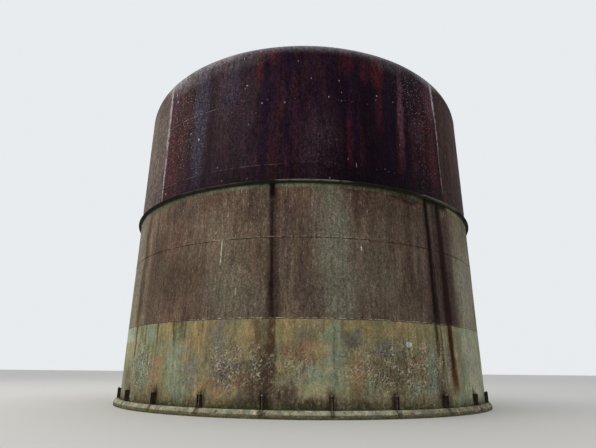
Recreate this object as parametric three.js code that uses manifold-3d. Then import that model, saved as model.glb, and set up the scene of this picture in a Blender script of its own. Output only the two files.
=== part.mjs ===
// A ground-level steel water tank on a concrete ring wall: a welded plate shell in five courses,
// a stiffener ring, a rounded knuckle under a shallow cone roof, and anchor chairs round the foot.
// Millimetres, +Z up, origin at the centre of the ring wall's underside.
// An azimuth is in degrees, 0 towards -Y and positive towards +X.

import * as THREE from "three";
import { mergeVertices } from "three/addons/utils/BufferGeometryUtils.js";
import Module from "manifold-3d";

// Driving dimensions
const SHELL_RADIUS = 9000;
const COURSE_HEIGHT = 3050;
const TOP_COURSE_HEIGHT = 2230;
const COURSE_THICKNESSES = [14, 12, 10, 8, 8];
const KNUCKLE_RADIUS = 1010;
const ROOF_RISE_PER_RUN = 1 / 12;
const ROOF_THICKNESS = 8;
const RING_WALL_OUTER = 9270;
const RING_WALL_INNER = 8650;
const RING_WALL_HEIGHT = 270;
const RING_WALL_SHOULDER_WIDTH = 90;
const RING_WALL_SHOULDER_DROP = 130;
const BOTTOM_PLATE_THICKNESS = 10;
const BOTTOM_PLATE_LIP = 60;
const STIFFENER_TOP_ABOVE_SHELL_FOOT = 8410;
const STIFFENER_FLANGE = { width: 150, thickness: 16 };
const STIFFENER_LEG = { depth: 80, thickness: 12 };
const CHAIR_COUNT = 24;
const CHAIR_AZIMUTH = -8.6;
const CHAIR_HEIGHT = 430;
const CHAIR_TOP_PLATE = { width: 165, depth: 155, thickness: 28 };
const CHAIR_GUSSET_THICKNESS = 20;
const CHAIR_GUSSET_GAP = 88;
const CHAIR_GUSSET_DEPTH = 145;
const CHAIR_GUSSET_FOOT_CORNER = 25;
const WELD_CLEARANCE = 0.3;

// Where the joints between neighbouring plates of one turn lie
const RING_WALL_JOINTS = quarterTurnsFrom(28.9);
const STIFFENER_JOINTS = quarterTurnsFrom(-8);
const COURSE_JOINTS = [-16.1, 13.9, -36.1, -46.1, -46.1].map(quarterTurnsFrom);
const KNUCKLE_JOINTS = quarterTurnsFrom(-46.1);

// Every round piece shares one set of flat facets, with a chair at the middle of its facet
const FACET = 5;
const FACETS_ROUND = 360 / FACET;
const FACET_START = CHAIR_AZIMUTH + FACET / 2;
const FLAT_TO_CORNER = Math.cos(radians(FACET / 2));
const ARC_STEPS = 4;

const SHELL_FOOT = RING_WALL_HEIGHT + BOTTOM_PLATE_THICKNESS;
const KNUCKLE_FOOT = SHELL_FOOT + 4 * COURSE_HEIGHT + TOP_COURSE_HEIGHT;

const wasm = await Module();
wasm.setup();

const concrete = paint("#7c7a62", 0.95, 0);
const tanPaint = paint("#86785c", 0.85, 0.1);
const brownRust = paint("#5c483a", 0.85, 0.1);
const maroonRust = paint("#35262a", 0.7, 0.2);
const blackRust = paint("#24180f", 0.9, 0.1);
const courseFinishes = [tanPaint, brownRust, brownRust, maroonRust, maroonRust];

function paint(color, roughness, metalness) {
  return new THREE.MeshStandardMaterial({ color, roughness, metalness });
}

function radians(degrees) {
  return THREE.MathUtils.degToRad(degrees);
}

function quarterTurnsFrom(azimuth) {
  return [0, 1, 2, 3].map((turn) => azimuth + 90 * turn);
}

function named(name, geometry, material) {
  const mesh = new THREE.Mesh(geometry, material);
  mesh.name = name;
  return mesh;
}

// The azimuths of a sector's cross sections: its two ends and each facet corner between them
function sectionAzimuths(from, to) {
  const azimuths = [from];
  const firstCorner = Math.floor((from - FACET_START) / FACET) + 1;
  for (let corner = firstCorner; FACET_START + corner * FACET < to; corner += 1) {
    azimuths.push(FACET_START + corner * FACET);
  }
  azimuths.push(to);
  return azimuths;
}

// How far the facets' flats lie inside the circle at one azimuth, as a share of the radius
function facetShare(azimuth) {
  const place = (azimuth - FACET_START) / FACET;
  const fromMiddle = (place - Math.floor(place) - 0.5) * FACET;
  return FLAT_TO_CORNER / Math.cos(radians(fromMiddle));
}

function pointAt(azimuth, radius, height) {
  const reach = radius * facetShare(azimuth);
  const angle = radians(azimuth);
  return [reach * Math.sin(angle), -reach * Math.cos(angle), height];
}

// Turns a closed profile, drawn as radius and height, round the tank's axis between two azimuths
function turnedSector(profile, from, to) {
  const outline = profile.extractPoints(ARC_STEPS).shape;
  if (THREE.ShapeUtils.isClockWise(outline)) outline.reverse();
  const azimuths = sectionAzimuths(from, to);
  const positions = azimuths.flatMap((azimuth) =>
    outline.flatMap((point) => pointAt(azimuth, point.x, point.y)),
  );
  const indices = [];
  const size = outline.length;
  for (let section = 0; section < azimuths.length - 1; section += 1) {
    for (let corner = 0; corner < size; corner += 1) {
      const a = section * size + corner;
      const b = section * size + ((corner + 1) % size);
      indices.push(a, a + size, b + size, a, b + size, b);
    }
  }
  const lastSection = (azimuths.length - 1) * size;
  for (const [a, b, c] of THREE.ShapeUtils.triangulateShape(outline, [])) {
    indices.push(a, b, c, lastSection + a, lastSection + c, lastSection + b);
  }
  const geometry = new THREE.BufferGeometry();
  geometry.setAttribute("position", new THREE.Float32BufferAttribute(positions, 3));
  geometry.setIndex(indices);
  geometry.computeVertexNormals();
  return geometry;
}

// One full turn of a piece as four sectors, each a mesh of its own
function quarters(name, profile, joints, material) {
  return joints.map((from, index) => {
    const to = index + 1 < joints.length ? joints[index + 1] : joints[0] + 360;
    return named(`${name}_${index + 1}`, turnedSector(profile, from, to), material);
  });
}

function polygon(points) {
  return new THREE.Shape(points.map(([x, y]) => new THREE.Vector2(x, y)));
}

// A poured ring with a flat top and a sloped outer shoulder
function ringWall() {
  const shoulderFoot = RING_WALL_HEIGHT - RING_WALL_SHOULDER_DROP;
  const profile = polygon([
    [RING_WALL_INNER, 0],
    [RING_WALL_OUTER, 0],
    [RING_WALL_OUTER, shoulderFoot],
    [RING_WALL_OUTER - RING_WALL_SHOULDER_WIDTH, RING_WALL_HEIGHT],
    [RING_WALL_INNER, RING_WALL_HEIGHT],
  ]);
  return quarters("ring_wall", profile, RING_WALL_JOINTS, concrete);
}

// The tank's floor, with a lip that the chairs stand on
function bottomPlate() {
  const radius = SHELL_RADIUS + BOTTOM_PLATE_LIP;
  const disc = new THREE.CylinderGeometry(
    radius,
    radius,
    BOTTOM_PLATE_THICKNESS,
    FACETS_ROUND,
    1,
    false,
    radians(FACET_START),
  );
  disc.rotateX(Math.PI / 2);
  disc.translate(0, 0, RING_WALL_HEIGHT + BOTTOM_PLATE_THICKNESS / 2);
  return named("bottom_plate", disc, blackRust);
}

// One ring of rolled plates, butt welded end to end and to the ring below
function shellCourse(index) {
  const foot = SHELL_FOOT + index * COURSE_HEIGHT;
  const isTop = index === COURSE_THICKNESSES.length - 1;
  const head = isTop ? KNUCKLE_FOOT : foot + COURSE_HEIGHT;
  const inner = SHELL_RADIUS - COURSE_THICKNESSES[index];
  const profile = polygon([
    [inner, foot],
    [SHELL_RADIUS, foot],
    [SHELL_RADIUS, head],
    [inner, head],
  ]);
  const name = `shell_course_${index + 1}_plate`;
  return quarters(name, profile, COURSE_JOINTS[index], courseFinishes[index]);
}

// A rolled angle: its wide leg stands out level, its other leg hangs against the shell
function stiffenerRing() {
  const inner = SHELL_RADIUS + WELD_CLEARANCE;
  const top = SHELL_FOOT + STIFFENER_TOP_ABOVE_SHELL_FOOT;
  const flangeUnderside = top - STIFFENER_FLANGE.thickness;
  const profile = polygon([
    [inner, top - STIFFENER_LEG.depth],
    [inner + STIFFENER_LEG.thickness, top - STIFFENER_LEG.depth],
    [inner + STIFFENER_LEG.thickness, flangeUnderside],
    [inner + STIFFENER_FLANGE.width, flangeUnderside],
    [inner + STIFFENER_FLANGE.width, top],
    [inner, top],
  ]);
  return quarters("stiffener_ring", profile, STIFFENER_JOINTS, blackRust);
}

// The knuckle bends inwards until it runs along the roof's slope
const ROOF_SLOPE = Math.atan(ROOF_RISE_PER_RUN);
const KNUCKLE_SWEEP = Math.PI / 2 - ROOF_SLOPE;
const KNUCKLE_CENTRE = SHELL_RADIUS - KNUCKLE_RADIUS;

function knuckle() {
  const profile = new THREE.Shape();
  const inner = KNUCKLE_RADIUS - ROOF_THICKNESS;
  profile.absarc(KNUCKLE_CENTRE, KNUCKLE_FOOT, KNUCKLE_RADIUS, 0, KNUCKLE_SWEEP, false);
  profile.absarc(KNUCKLE_CENTRE, KNUCKLE_FOOT, inner, KNUCKLE_SWEEP, 0, true);
  return quarters("knuckle", profile, KNUCKLE_JOINTS, maroonRust);
}

// A point of the roof's rim, at the end of the knuckle and clear of it along the slope
function roofRimPoint(bendRadius) {
  return new THREE.Vector2(
    KNUCKLE_CENTRE + bendRadius * Math.cos(KNUCKLE_SWEEP) - WELD_CLEARANCE * Math.cos(ROOF_SLOPE),
    KNUCKLE_FOOT + bendRadius * Math.sin(KNUCKLE_SWEEP) + WELD_CLEARANCE * Math.sin(ROOF_SLOPE),
  );
}

function roofApexAbove(rimPoint) {
  return new THREE.Vector2(0, rimPoint.y + rimPoint.x * ROOF_RISE_PER_RUN);
}

function roofCone() {
  const lowerRim = roofRimPoint(KNUCKLE_RADIUS - ROOF_THICKNESS);
  const upperRim = roofRimPoint(KNUCKLE_RADIUS);
  const profile = [roofApexAbove(lowerRim), lowerRim, upperRim, roofApexAbove(upperRim)];
  const cone = new THREE.LatheGeometry(profile, FACETS_ROUND, radians(FACET_START));
  cone.rotateX(Math.PI / 2);
  return named("roof_cone", cone, maroonRust);
}

function solidFrom(geometry) {
  const bare = geometry.clone();
  bare.deleteAttribute("normal");
  bare.deleteAttribute("uv");
  const merged = mergeVertices(bare);
  const mesh = new wasm.Mesh({
    numProp: 3,
    vertProperties: merged.attributes.position.array,
    triVerts: Uint32Array.from(merged.index.array),
  });
  return new wasm.Manifold(mesh);
}

function geometryFrom(solid) {
  const mesh = solid.getMesh();
  const geometry = new THREE.BufferGeometry();
  geometry.setAttribute("position", new THREE.BufferAttribute(mesh.vertProperties, 3));
  geometry.setIndex(new THREE.BufferAttribute(mesh.triVerts, 1));
  geometry.computeVertexNormals();
  return geometry;
}

// An upright plate that stands out from the shell, with the outer corner of its foot cut off
function chairGusset(middle) {
  const outline = polygon([
    [0, 0],
    [CHAIR_GUSSET_DEPTH - CHAIR_GUSSET_FOOT_CORNER, 0],
    [CHAIR_GUSSET_DEPTH, CHAIR_GUSSET_FOOT_CORNER],
    [CHAIR_GUSSET_DEPTH, CHAIR_HEIGHT],
    [0, CHAIR_HEIGHT],
  ]);
  const plate = new THREE.ExtrudeGeometry(outline, {
    depth: CHAIR_GUSSET_THICKNESS,
    bevelEnabled: false,
  });
  const outwards = new THREE.Vector3(0, -1, 0);
  const up = new THREE.Vector3(0, 0, 1);
  const alongShell = new THREE.Vector3(-1, 0, 0);
  plate.applyMatrix4(new THREE.Matrix4().makeBasis(outwards, up, alongShell));
  plate.translate(middle + CHAIR_GUSSET_THICKNESS / 2, 0, 0);
  return plate;
}

// Two gussets and the top plate that takes the anchor bolt's nut, welded into one piece
function chairGeometry() {
  const middle = (CHAIR_GUSSET_GAP + CHAIR_GUSSET_THICKNESS) / 2;
  const topPlate = new THREE.BoxGeometry(
    CHAIR_TOP_PLATE.width,
    CHAIR_TOP_PLATE.depth,
    CHAIR_TOP_PLATE.thickness,
  );
  topPlate.translate(0, -CHAIR_TOP_PLATE.depth / 2, CHAIR_HEIGHT - CHAIR_TOP_PLATE.thickness / 2);
  const welded = solidFrom(topPlate)
    .add(solidFrom(chairGusset(-middle)))
    .add(solidFrom(chairGusset(middle)));
  const geometry = geometryFrom(welded);
  const backOfChair = SHELL_RADIUS * FLAT_TO_CORNER + WELD_CLEARANCE;
  geometry.translate(0, -backOfChair, SHELL_FOOT);
  return geometry;
}

function anchorChairs() {
  const geometry = chairGeometry();
  const chairs = [];
  for (let index = 0; index < CHAIR_COUNT; index += 1) {
    const number = String(index + 1).padStart(2, "0");
    const chair = named(`anchor_chair_${number}`, geometry, blackRust);
    chair.rotation.z = radians(CHAIR_AZIMUTH + (index * 360) / CHAIR_COUNT);
    chairs.push(chair);
  }
  return chairs;
}

const tank = new THREE.Group();
tank.add(...ringWall());
tank.add(bottomPlate());
COURSE_THICKNESSES.forEach((thickness, index) => tank.add(...shellCourse(index)));
tank.add(...stiffenerRing());
tank.add(...knuckle());
tank.add(roofCone());
tank.add(...anchorChairs());

export default tank;
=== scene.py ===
import math

import bmesh
import bpy
import numpy as np
from mathutils import Matrix, Vector, noise


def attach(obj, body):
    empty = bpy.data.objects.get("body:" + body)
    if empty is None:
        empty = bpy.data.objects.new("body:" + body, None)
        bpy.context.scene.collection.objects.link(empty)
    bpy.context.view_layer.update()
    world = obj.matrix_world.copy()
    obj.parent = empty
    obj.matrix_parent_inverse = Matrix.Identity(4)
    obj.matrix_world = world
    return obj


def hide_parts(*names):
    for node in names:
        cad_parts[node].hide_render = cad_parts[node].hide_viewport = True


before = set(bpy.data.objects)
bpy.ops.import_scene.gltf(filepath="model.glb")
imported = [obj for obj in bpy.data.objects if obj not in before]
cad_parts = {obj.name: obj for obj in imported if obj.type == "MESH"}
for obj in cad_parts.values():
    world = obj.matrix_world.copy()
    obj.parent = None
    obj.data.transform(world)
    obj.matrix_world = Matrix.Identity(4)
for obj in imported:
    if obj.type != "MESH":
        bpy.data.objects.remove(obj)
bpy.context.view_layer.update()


# Concrete ring wall under the shell's edge, poured in four lengths against a round form and struck
# off level, with a sloped outer shoulder. Rain has bleached its top. Its face is painted darker, partly
# for the moss that holds on it and partly as painted shade.

SHOULDER_WIDTH = 0.09
SHOULDER_DROP = 0.13
RING_WALL_INNER = 8.65
RING_WALL_LEDGE_START = 0.08
RING_WALL_ROW = 0.045
RING_WALL_STEP = 0.25
OFF_SHELL = 0.1
UNDERGROUND = -1.0
GRAINS_PER_METRE = 45.0
SLABS_PER_METRE = 1.1
WEATHERING_DEPTH = 0.007
CHIP_DEPTH = 0.04


def measured(node):
    """A CAD node's greatest radius, foot, head and first azimuth, in metres and degrees.

    An azimuth is 0 towards -Y and positive towards +X.
    """
    points = np.array([vertex.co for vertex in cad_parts[node].data.vertices])
    azimuths = np.degrees(np.arctan2(points[:, 0], -points[:, 1]))
    radius = np.hypot(points[:, 0], points[:, 1]).max()
    return float(radius), float(points[:, 2].min()), float(points[:, 2].max()), float(azimuths.min())


def to_linear(hex_colour):
    """An sRGB hex value as the linear colour that a socket takes."""
    channels = [int(hex_colour[at : at + 2], 16) / 255 for at in (1, 3, 5)]
    return (*[c / 12.92 if c <= 0.04045 else ((c + 0.055) / 1.055) ** 2.4 for c in channels], 1.0)


def add_node(tree, kind, inputs=None, **settings):
    """Adds a node with its settings, sets or links each of its inputs, and returns its outputs.

    A shader node's kind goes without the words ShaderNode.
    """
    node = tree.nodes.new(kind if "Node" in kind else f"ShaderNode{kind}")
    for name, value in settings.items():
        setattr(node, name, value)
    for name, value in (inputs or {}).items():
        if isinstance(value, bpy.types.NodeSocket):
            tree.links.new(value, node.inputs[name])
        else:
            node.inputs[name].default_value = value
    return node.outputs


def tank_place(tree):
    """The sockets that say where a point of the tank lies.

    "wall" is the unrolled wall: metres along it from azimuth 0, and the height. The far side is its
    mirror image, so that it wears the same placed marks as the near side and meets it without a
    step. "around" runs on round the tank instead, and "turn" is the azimuth in radians.
    """
    point = add_node(tree, "TexCoord")["Object"]
    axes = add_node(tree, "SeparateXYZ", {0: point})
    ahead = add_node(tree, "Math", {0: axes["Y"], 1: -1.0}, operation="MULTIPLY")[0]
    depth = add_node(tree, "Math", {0: axes["Y"]}, operation="ABSOLUTE")[0]
    turn = add_node(tree, "Math", {0: axes["X"], 1: ahead}, operation="ARCTAN2")[0]
    mirrored = add_node(tree, "Math", {0: axes["X"], 1: depth}, operation="ARCTAN2")[0]
    place = {"tree": tree, "point": point, "height": axes["Z"], "turn": turn}
    for name, angle in (("wall", mirrored), ("around", turn)):
        along = add_node(tree, "Math", {0: angle, 1: shell_radius}, operation="MULTIPLY")[0]
        place[name] = add_node(tree, "CombineXYZ", {0: along, 1: axes["Z"]})[0]
    return place


def level_band(place, low, high, fade):
    """The level band between two heights, whose edges fade over that many metres to either side."""
    tree = place["tree"]
    middle = {0: place["height"], 1: (low + high) / 2}
    off_middle = add_node(tree, "Math", middle, operation="SUBTRACT")[0]
    away = add_node(tree, "Math", {0: off_middle}, operation="ABSOLUTE")[0]
    reach = (high - low) / 2
    limits = {"Value": away, "From Min": reach - fade, "From Max": reach + fade, "To Min": 1.0, "To Max": 0.0}
    return add_node(tree, "MapRange", limits, interpolation_type="SMOOTHSTEP")[0]


def blotches(vector, size, low, high):
    """Irregular islands where noise of that size in metres is over high, fading out down to low."""
    tree = vector.id_data
    settings = {"Vector": vector, "Scale": 1 / size, "Detail": 4.0, "Roughness": 0.6}
    cloud = add_node(tree, "TexNoise", settings)["Fac"]
    limits = {"Value": cloud, "From Min": low, "From Max": high}
    return add_node(tree, "MapRange", limits, interpolation_type="SMOOTHSTEP")[0]


def specks(vector, spacing, radius, share):
    """Small round marks of up to one radius, spacing metres apart, in a share of the places."""
    tree = vector.id_data
    cells = add_node(tree, "TexVoronoi", {"Vector": vector, "Scale": 1 / spacing})
    chance = add_node(tree, "SeparateColor", {0: cells["Color"]})["Red"]
    chosen = add_node(tree, "Math", {0: chance, 1: share}, operation="LESS_THAN")[0]
    reach = radius / spacing
    limits = {"Value": cells["Distance"], "From Min": reach, "From Max": 0.6 * reach}
    spot = add_node(tree, "MapRange", limits, interpolation_type="SMOOTHSTEP")[0]
    return add_node(tree, "Math", {0: spot, 1: chosen}, operation="MULTIPLY")[0]


class Finish:
    """A material in the making, from its lowest coat of paint, rust or bare stuff up.

    A colour goes with a roughness: 0 is a mirror, 1 is chalk.
    """

    def __init__(self, name, hex_colour, roughness):
        self.material = bpy.data.materials.new(name)
        self.material.use_nodes = True
        self.tree = self.material.node_tree
        self.tree.nodes.clear()
        self.colour = to_linear(hex_colour)
        self.roughness = roughness

    def lay(self, hex_colour, roughness, *covers):
        """Lays on one more layer, which hides what is below it where all its covers are 1."""
        cover = covers[0]
        for another in covers[1:]:
            cover = add_node(self.tree, "Math", {0: cover, 1: another}, operation="MULTIPLY")[0]
        blend = {0: cover, 6: self.colour, 7: to_linear(hex_colour)}
        self.colour = add_node(self.tree, "Mix", blend, data_type="RGBA")[2]
        blend = {0: cover, 2: self.roughness, 3: roughness}
        self.roughness = add_node(self.tree, "Mix", blend, data_type="FLOAT")[0]

    def mottle(self, vector, size, shade, hue=0.0):
        """Makes it lighter and darker by up to that share, in patches of that size in metres.

        hue lets red, green and blue stray from each other by up to that share. Real grain is about
        a millimetre, too fine to show, so the finest patches are drawn 50 mm wide.
        """
        cloud = add_node(self.tree, "TexNoise", {"Vector": vector, "Scale": 1 / size, "Detail": 2.0})
        limits = {"Value": cloud["Fac"], "From Min": 0.3, "From Max": 0.7}
        light = add_node(self.tree, "MapRange", limits)[0]
        greys = {0: light, 6: (1 - shade, 1 - shade, 1 - shade, 1), 7: (1 + shade, 1 + shade, 1 + shade, 1)}
        factor = add_node(self.tree, "Mix", greys, data_type="RGBA")[2]
        blend = {0: 1.0, 6: self.colour, 7: factor}
        self.colour = add_node(self.tree, "Mix", blend, data_type="RGBA", blend_type="MULTIPLY")[2]
        if hue:
            twice = {0: 1.0, 6: cloud["Color"], 7: cloud["Color"]}
            tint = add_node(self.tree, "Mix", twice, data_type="RGBA", blend_type="ADD")[2]
            blend = {0: hue, 6: self.colour, 7: tint}
            self.colour = add_node(self.tree, "Mix", blend, data_type="RGBA", blend_type="MULTIPLY")[2]

    def complete(self, relief, relief_depth, specular):
        """Ends it with a relief of that depth in metres, and with how strongly it reflects."""
        bump = add_node(self.tree, "Bump", {"Height": relief, "Distance": relief_depth})[0]
        look = {"Base Color": self.colour, "Roughness": self.roughness}
        look |= {"Specular IOR Level": specular, "Normal": bump}
        shader = add_node(self.tree, "BsdfPrincipled", look)[0]
        add_node(self.tree, "OutputMaterial", {"Surface": shader})
        return self.material


def refined(outline, longest):
    """An outline's points with more between them, so that no side is longer than the given length."""
    points = []
    for start, end in zip(outline, outline[1:]):
        parts = max(1, math.ceil(math.dist(start, end) / longest))
        points += [tuple(np.add(start, np.subtract(end, start) * part / parts)) for part in range(parts)]
    return points + [outline[-1]]


def put_in_scene(name, data):
    """A new object of that data, at the origin."""
    made = bpy.data.objects.new(name, data)
    bpy.context.scene.collection.objects.link(made)
    return made


def new_object(name, points, faces, materials):
    """A mesh object at the origin, smooth where its faces meet at less than 30 degrees."""
    mesh = bpy.data.meshes.new(name)
    mesh.from_pydata(points, [], faces)
    mesh.validate()
    for material in materials:
        mesh.materials.append(material)
    mesh.shade_smooth()
    mesh.set_sharp_from_angle(angle=math.radians(30))
    return put_in_scene(name, mesh)


def round_axis(azimuth, radius, height):
    """The point at an azimuth in radians, a distance from the tank's axis and a height."""
    return Vector((radius * math.sin(azimuth), -radius * math.cos(azimuth), height))


def swept(name, outline, start, end, step, materials, moved=None):
    """Turns a closed outline of (radius, height), drawn anticlockwise, round the tank's axis.

    A side of the outline that lies on the axis makes no face.
    moved may shift the surface: it takes an azimuth in radians, a radius and a height, and gives the
    new radius and height.
    """
    whole = end - start >= 360
    steps = max(1, round((end - start) / step))
    azimuths = [math.radians(start + (end - start) * at / steps) for at in range(steps + (not whole))]
    points = []
    for azimuth in azimuths:
        for radius, height in outline:
            if moved:
                radius, height = moved(azimuth, radius, height)
            points.append(round_axis(azimuth, radius, height))
    size = len(outline)
    faces = []
    for at in range(steps):
        near = at * size
        far = (at + 1) % len(azimuths) * size
        for corner in range(size):
            after = (corner + 1) % size
            if outline[corner][0] == outline[after][0] == 0:
                continue
            faces.append((near + corner, far + corner, far + after, near + after))
    if not whole:
        last = (len(azimuths) - 1) * size
        faces.append(tuple(range(size)))
        faces.append(tuple(range(last + size - 1, last - 1, -1)))
    return new_object(name, points, faces, materials)


def fitted(piece, slot, *nodes):
    """Puts a finished piece on the tank in place of its CAD nodes. The finish slot it is given is not used.
    """
    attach(piece, "root")
    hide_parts(*nodes)


def four_lengths(node, ending, slot, outline, first, step, materials, moved):
    """Turns an outline into a ring of four lengths from the first azimuth, each in place of one CAD node."""
    pieces = []
    for quarter in range(4):
        name = f"{node}_{quarter + 1}"
        start = first + 90 * quarter
        pieces.append(swept(f"{name}_{ending}", outline, start, start + 90, step, materials, moved))
        fitted(pieces[-1], slot, name)
    return pieces


shell_radius, shell_foot, _, _ = measured("shell_course_1_plate_1")

CHAIR_COUNT = 24
CHAIR_FIRST_AZIMUTH = -8.6


def chair_place(place):
    """The wall as seen from the nearest anchor chair: metres aside from it, and the height."""
    tree = place["tree"]
    spacing = math.radians(360 / CHAIR_COUNT)
    from_first = {0: place["turn"], 1: -math.radians(CHAIR_FIRST_AZIMUTH)}
    turned = add_node(tree, "Math", from_first, operation="ADD")[0]
    wrapped = add_node(tree, "Math", {0: turned, 1: spacing / 2, 2: -spacing / 2}, operation="WRAP")[0]
    aside = add_node(tree, "Math", {0: wrapped, 1: shell_radius}, operation="MULTIPLY")[0]
    return add_node(tree, "CombineXYZ", {0: aside, 1: place["height"]})[0]


def ovals(wall, marks, limits, **settings):
    """Oval marks, which fade between the limits: 0 is an oval's middle, 1 its edge."""
    tree = wall.id_data
    cover = 0.0
    for azimuth, height, half_width, half_height, strength in marks:
        scale = (1 / half_width, 1 / half_height, 0)
        shift = (-shell_radius * math.radians(azimuth) / half_width, -height / half_height, 0)
        local = add_node(tree, "VectorMath", {0: wall, 1: scale, 2: shift}, operation="MULTIPLY_ADD")[0]
        off_middle = add_node(tree, "VectorMath", {0: local}, operation="LENGTH")["Value"]
        fade = {"Value": off_middle, **limits, "To Min": strength, "To Max": 0.0}
        mark = add_node(tree, "MapRange", fade, **settings)[0]
        cover = add_node(tree, "Math", {0: cover, 1: mark}, operation="MAXIMUM")[0]
    return cover


def marked(wall, softness, marks):
    """Oval marks: the azimuth and height of each middle, its half width and half height, its strength."""
    limits = {"From Min": 1 - softness, "From Max": 1 + softness}
    return ovals(wall, marks, limits, interpolation_type="SMOOTHSTEP")


def cast_concrete():
    """Weathered site-cast concrete, which looks matt and grainy, bleached where it lies open to rain."""
    finish = Finish("weathered_cast_concrete", "#8a8671", 0.92)
    place = tank_place(finish.tree)
    point = place["point"]
    finish.lay("#a29d88", 0.9, blotches(point, 0.35, 0.42, 0.62))
    # Painted shade: the outer face is darker than the top, partly for moss and dirt, partly for the lesser
    # light a face gets
    face = level_band(place, UNDERGROUND, ring_top - SHOULDER_DROP, 0.015)
    finish.lay("#66614b", 0.95, face, blotches(point, 0.5, 0.24, 0.44))
    low = level_band(place, UNDERGROUND, 0.07, 0.05)
    finish.lay("#45442c", 0.97, low, blotches(point, 0.3, 0.36, 0.52))
    finish.lay("#56543a", 0.97, blotches(point, 0.22, 0.6, 0.68))
    shaded = marked(place["wall"], 0.4, [(48, 0.1, 3.6, 1.0, 0.75), (-25, 0.1, 1.2, 1.0, 0.25)])
    finish.lay("#5b5641", 0.95, shaded, blotches(point, 0.25, 0.35, 0.55))
    chair = chair_place(place)
    rust = marked(chair, 0.5, [(0, 0.2, 0.1, 0.16, 0.85)])
    finish.lay("#30261a", 0.95, rust, blotches(point, 0.06, 0.36, 0.52))
    slabs = {"Vector": point, "Scale": SLABS_PER_METRE}
    cells = add_node(finish.tree, "TexVoronoi", slabs, feature="DISTANCE_TO_EDGE")
    limits = {"Value": cells["Distance"], "From Min": 0.012, "From Max": 0.004}
    cracks = add_node(finish.tree, "MapRange", limits)[0]
    finish.lay("#2c2a20", 0.95, cracks, blotches(point, 1.5, 0.48, 0.55))
    finish.mottle(point, 0.3, 0.2, 0.2)
    finish.mottle(point, 0.06, 0.4)
    # The real sand grain is 1 to 4 mm. It is drawn 22 mm wide, or it wouldn't show.
    grain = add_node(
        finish.tree, "TexNoise", {"Vector": point, "Scale": GRAINS_PER_METRE, "Detail": 6.0}
    )["Fac"]
    return finish.complete(grain, 0.012, 0.15)


def weathered(azimuth, radius, height):
    """The ring wall's outside, uneven from its form and chipped since."""
    if radius < shell_radius + OFF_SHELL:
        return radius, height
    spot = round_axis(azimuth, radius, height)
    chips = max(0.0, noise.noise(spot * 9) - 0.25)
    worn = WEATHERING_DEPTH * (noise.noise(spot * 2.5) - 0.6) - CHIP_DEPTH * chips
    return radius + worn, height + 0.5 * worn * (height > 0.02)


ring_outer, ring_foot, ring_top, ring_first = measured("ring_wall_1")
ring_outline = refined(
    [
        (ring_outer, ring_foot),
        (ring_outer, ring_top - SHOULDER_DROP),
        (ring_outer - SHOULDER_WIDTH, ring_top),
        (shell_radius + RING_WALL_LEDGE_START, ring_top),
    ],
    RING_WALL_ROW,
)
ring_outline = [(RING_WALL_INNER, ring_foot), *ring_outline, (RING_WALL_INNER, ring_top)]
concrete = cast_concrete()
ring_around = (ring_outline, ring_first, RING_WALL_STEP, [concrete], weathered)
four_lengths("ring_wall", "poured", "ring_wall_concrete", *ring_around)


# The edge of the tank's floor: 10 mm steel plate on the concrete, left as a lip outside the shell.
# It stands in wet dirt, so it has rusted nearly black, in scales, with orange where they fell off.

LIP_WAVINESS = 0.004
LIP_STEP = 0.5
RUST_SCALES_PER_METRE = 38.0


def scaled_rust():
    """Steel plate without paint left, which rust has made matt, scaly and nearly black."""
    finish = Finish("scaled_rust_on_steel_plate", "#23190f", 0.9)
    place = tank_place(finish.tree)
    point = place["point"]
    finish.lay("#33241a", 0.85, blotches(point, 0.14, 0.42, 0.6))
    finish.lay("#55361f", 0.9, blotches(point, 0.07, 0.6, 0.68))
    finish.lay("#14100b", 0.95, blotches(point, 0.09, 0.56, 0.64))
    low = level_band(place, UNDERGROUND, 0.4, 0.1)
    finish.lay("#333420", 0.97, low, blotches(point, 0.1, 0.46, 0.6))
    sized = {"Vector": point, "Scale": RUST_SCALES_PER_METRE, "Detail": 2.0}
    scales = add_node(finish.tree, "TexVoronoi", sized)
    return finish.complete(scales["Distance"], 0.004, 0.35)


def buckled(azimuth, radius, height):
    """The lip, which has lifted a little from the concrete in places."""
    lift = max(0.0, math.sin(9 * azimuth) + math.sin(23 * azimuth + 1.0) - 0.6)
    return radius, height + LIP_WAVINESS * lift * (radius > shell_radius)


def pole_closed(piece):
    """Merges the points that meet on the axis, so that the middle of a turned piece is closed."""
    sheet = bmesh.new()
    sheet.from_mesh(piece.data)
    bmesh.ops.remove_doubles(sheet, verts=sheet.verts, dist=1e-6)
    sheet.to_mesh(piece.data)
    sheet.free()


lip_radius, floor_foot, floor_head, _ = measured("bottom_plate")
floor_outline = [
    (0.0, floor_foot), (shell_radius, floor_foot), (lip_radius, floor_foot), (lip_radius, floor_head),
    (shell_radius, floor_head), (0.0, floor_head),
]
rusted_steel = scaled_rust()
floor_plate = swept("bottom_plate_rolled", floor_outline, 0, 360, LIP_STEP, [rusted_steel], buckled)
pole_closed(floor_plate)
fitted(floor_plate, "rusted_plate", "bottom_plate")


# Shell of five courses, each of four rolled steel plates butt welded end to end and to the course
# below. The lowest keeps a worn tan paint, the next two are brown where rust has bled through, and
# above the stiffener ring the paint is gone to an old maroon primer with soot and rust on it.

PLATE_THICKNESSES = [0.014, 0.012, 0.010, 0.008, 0.008]
PLATE_ROW = 0.26
PLATE_STEP = 0.5
PLATE_WAVINESS = 0.006
PITS_PER_METRE = 60.0
OVERHEAD = 30.0

stiffener_reach, stiffener_foot, stiffener_top, stiffener_first = measured("stiffener_ring_1")
courses = [measured(f"shell_course_{number}_plate_1") for number in range(1, 6)]
course_heads = [head for _, _, head, _ in courses]


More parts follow.
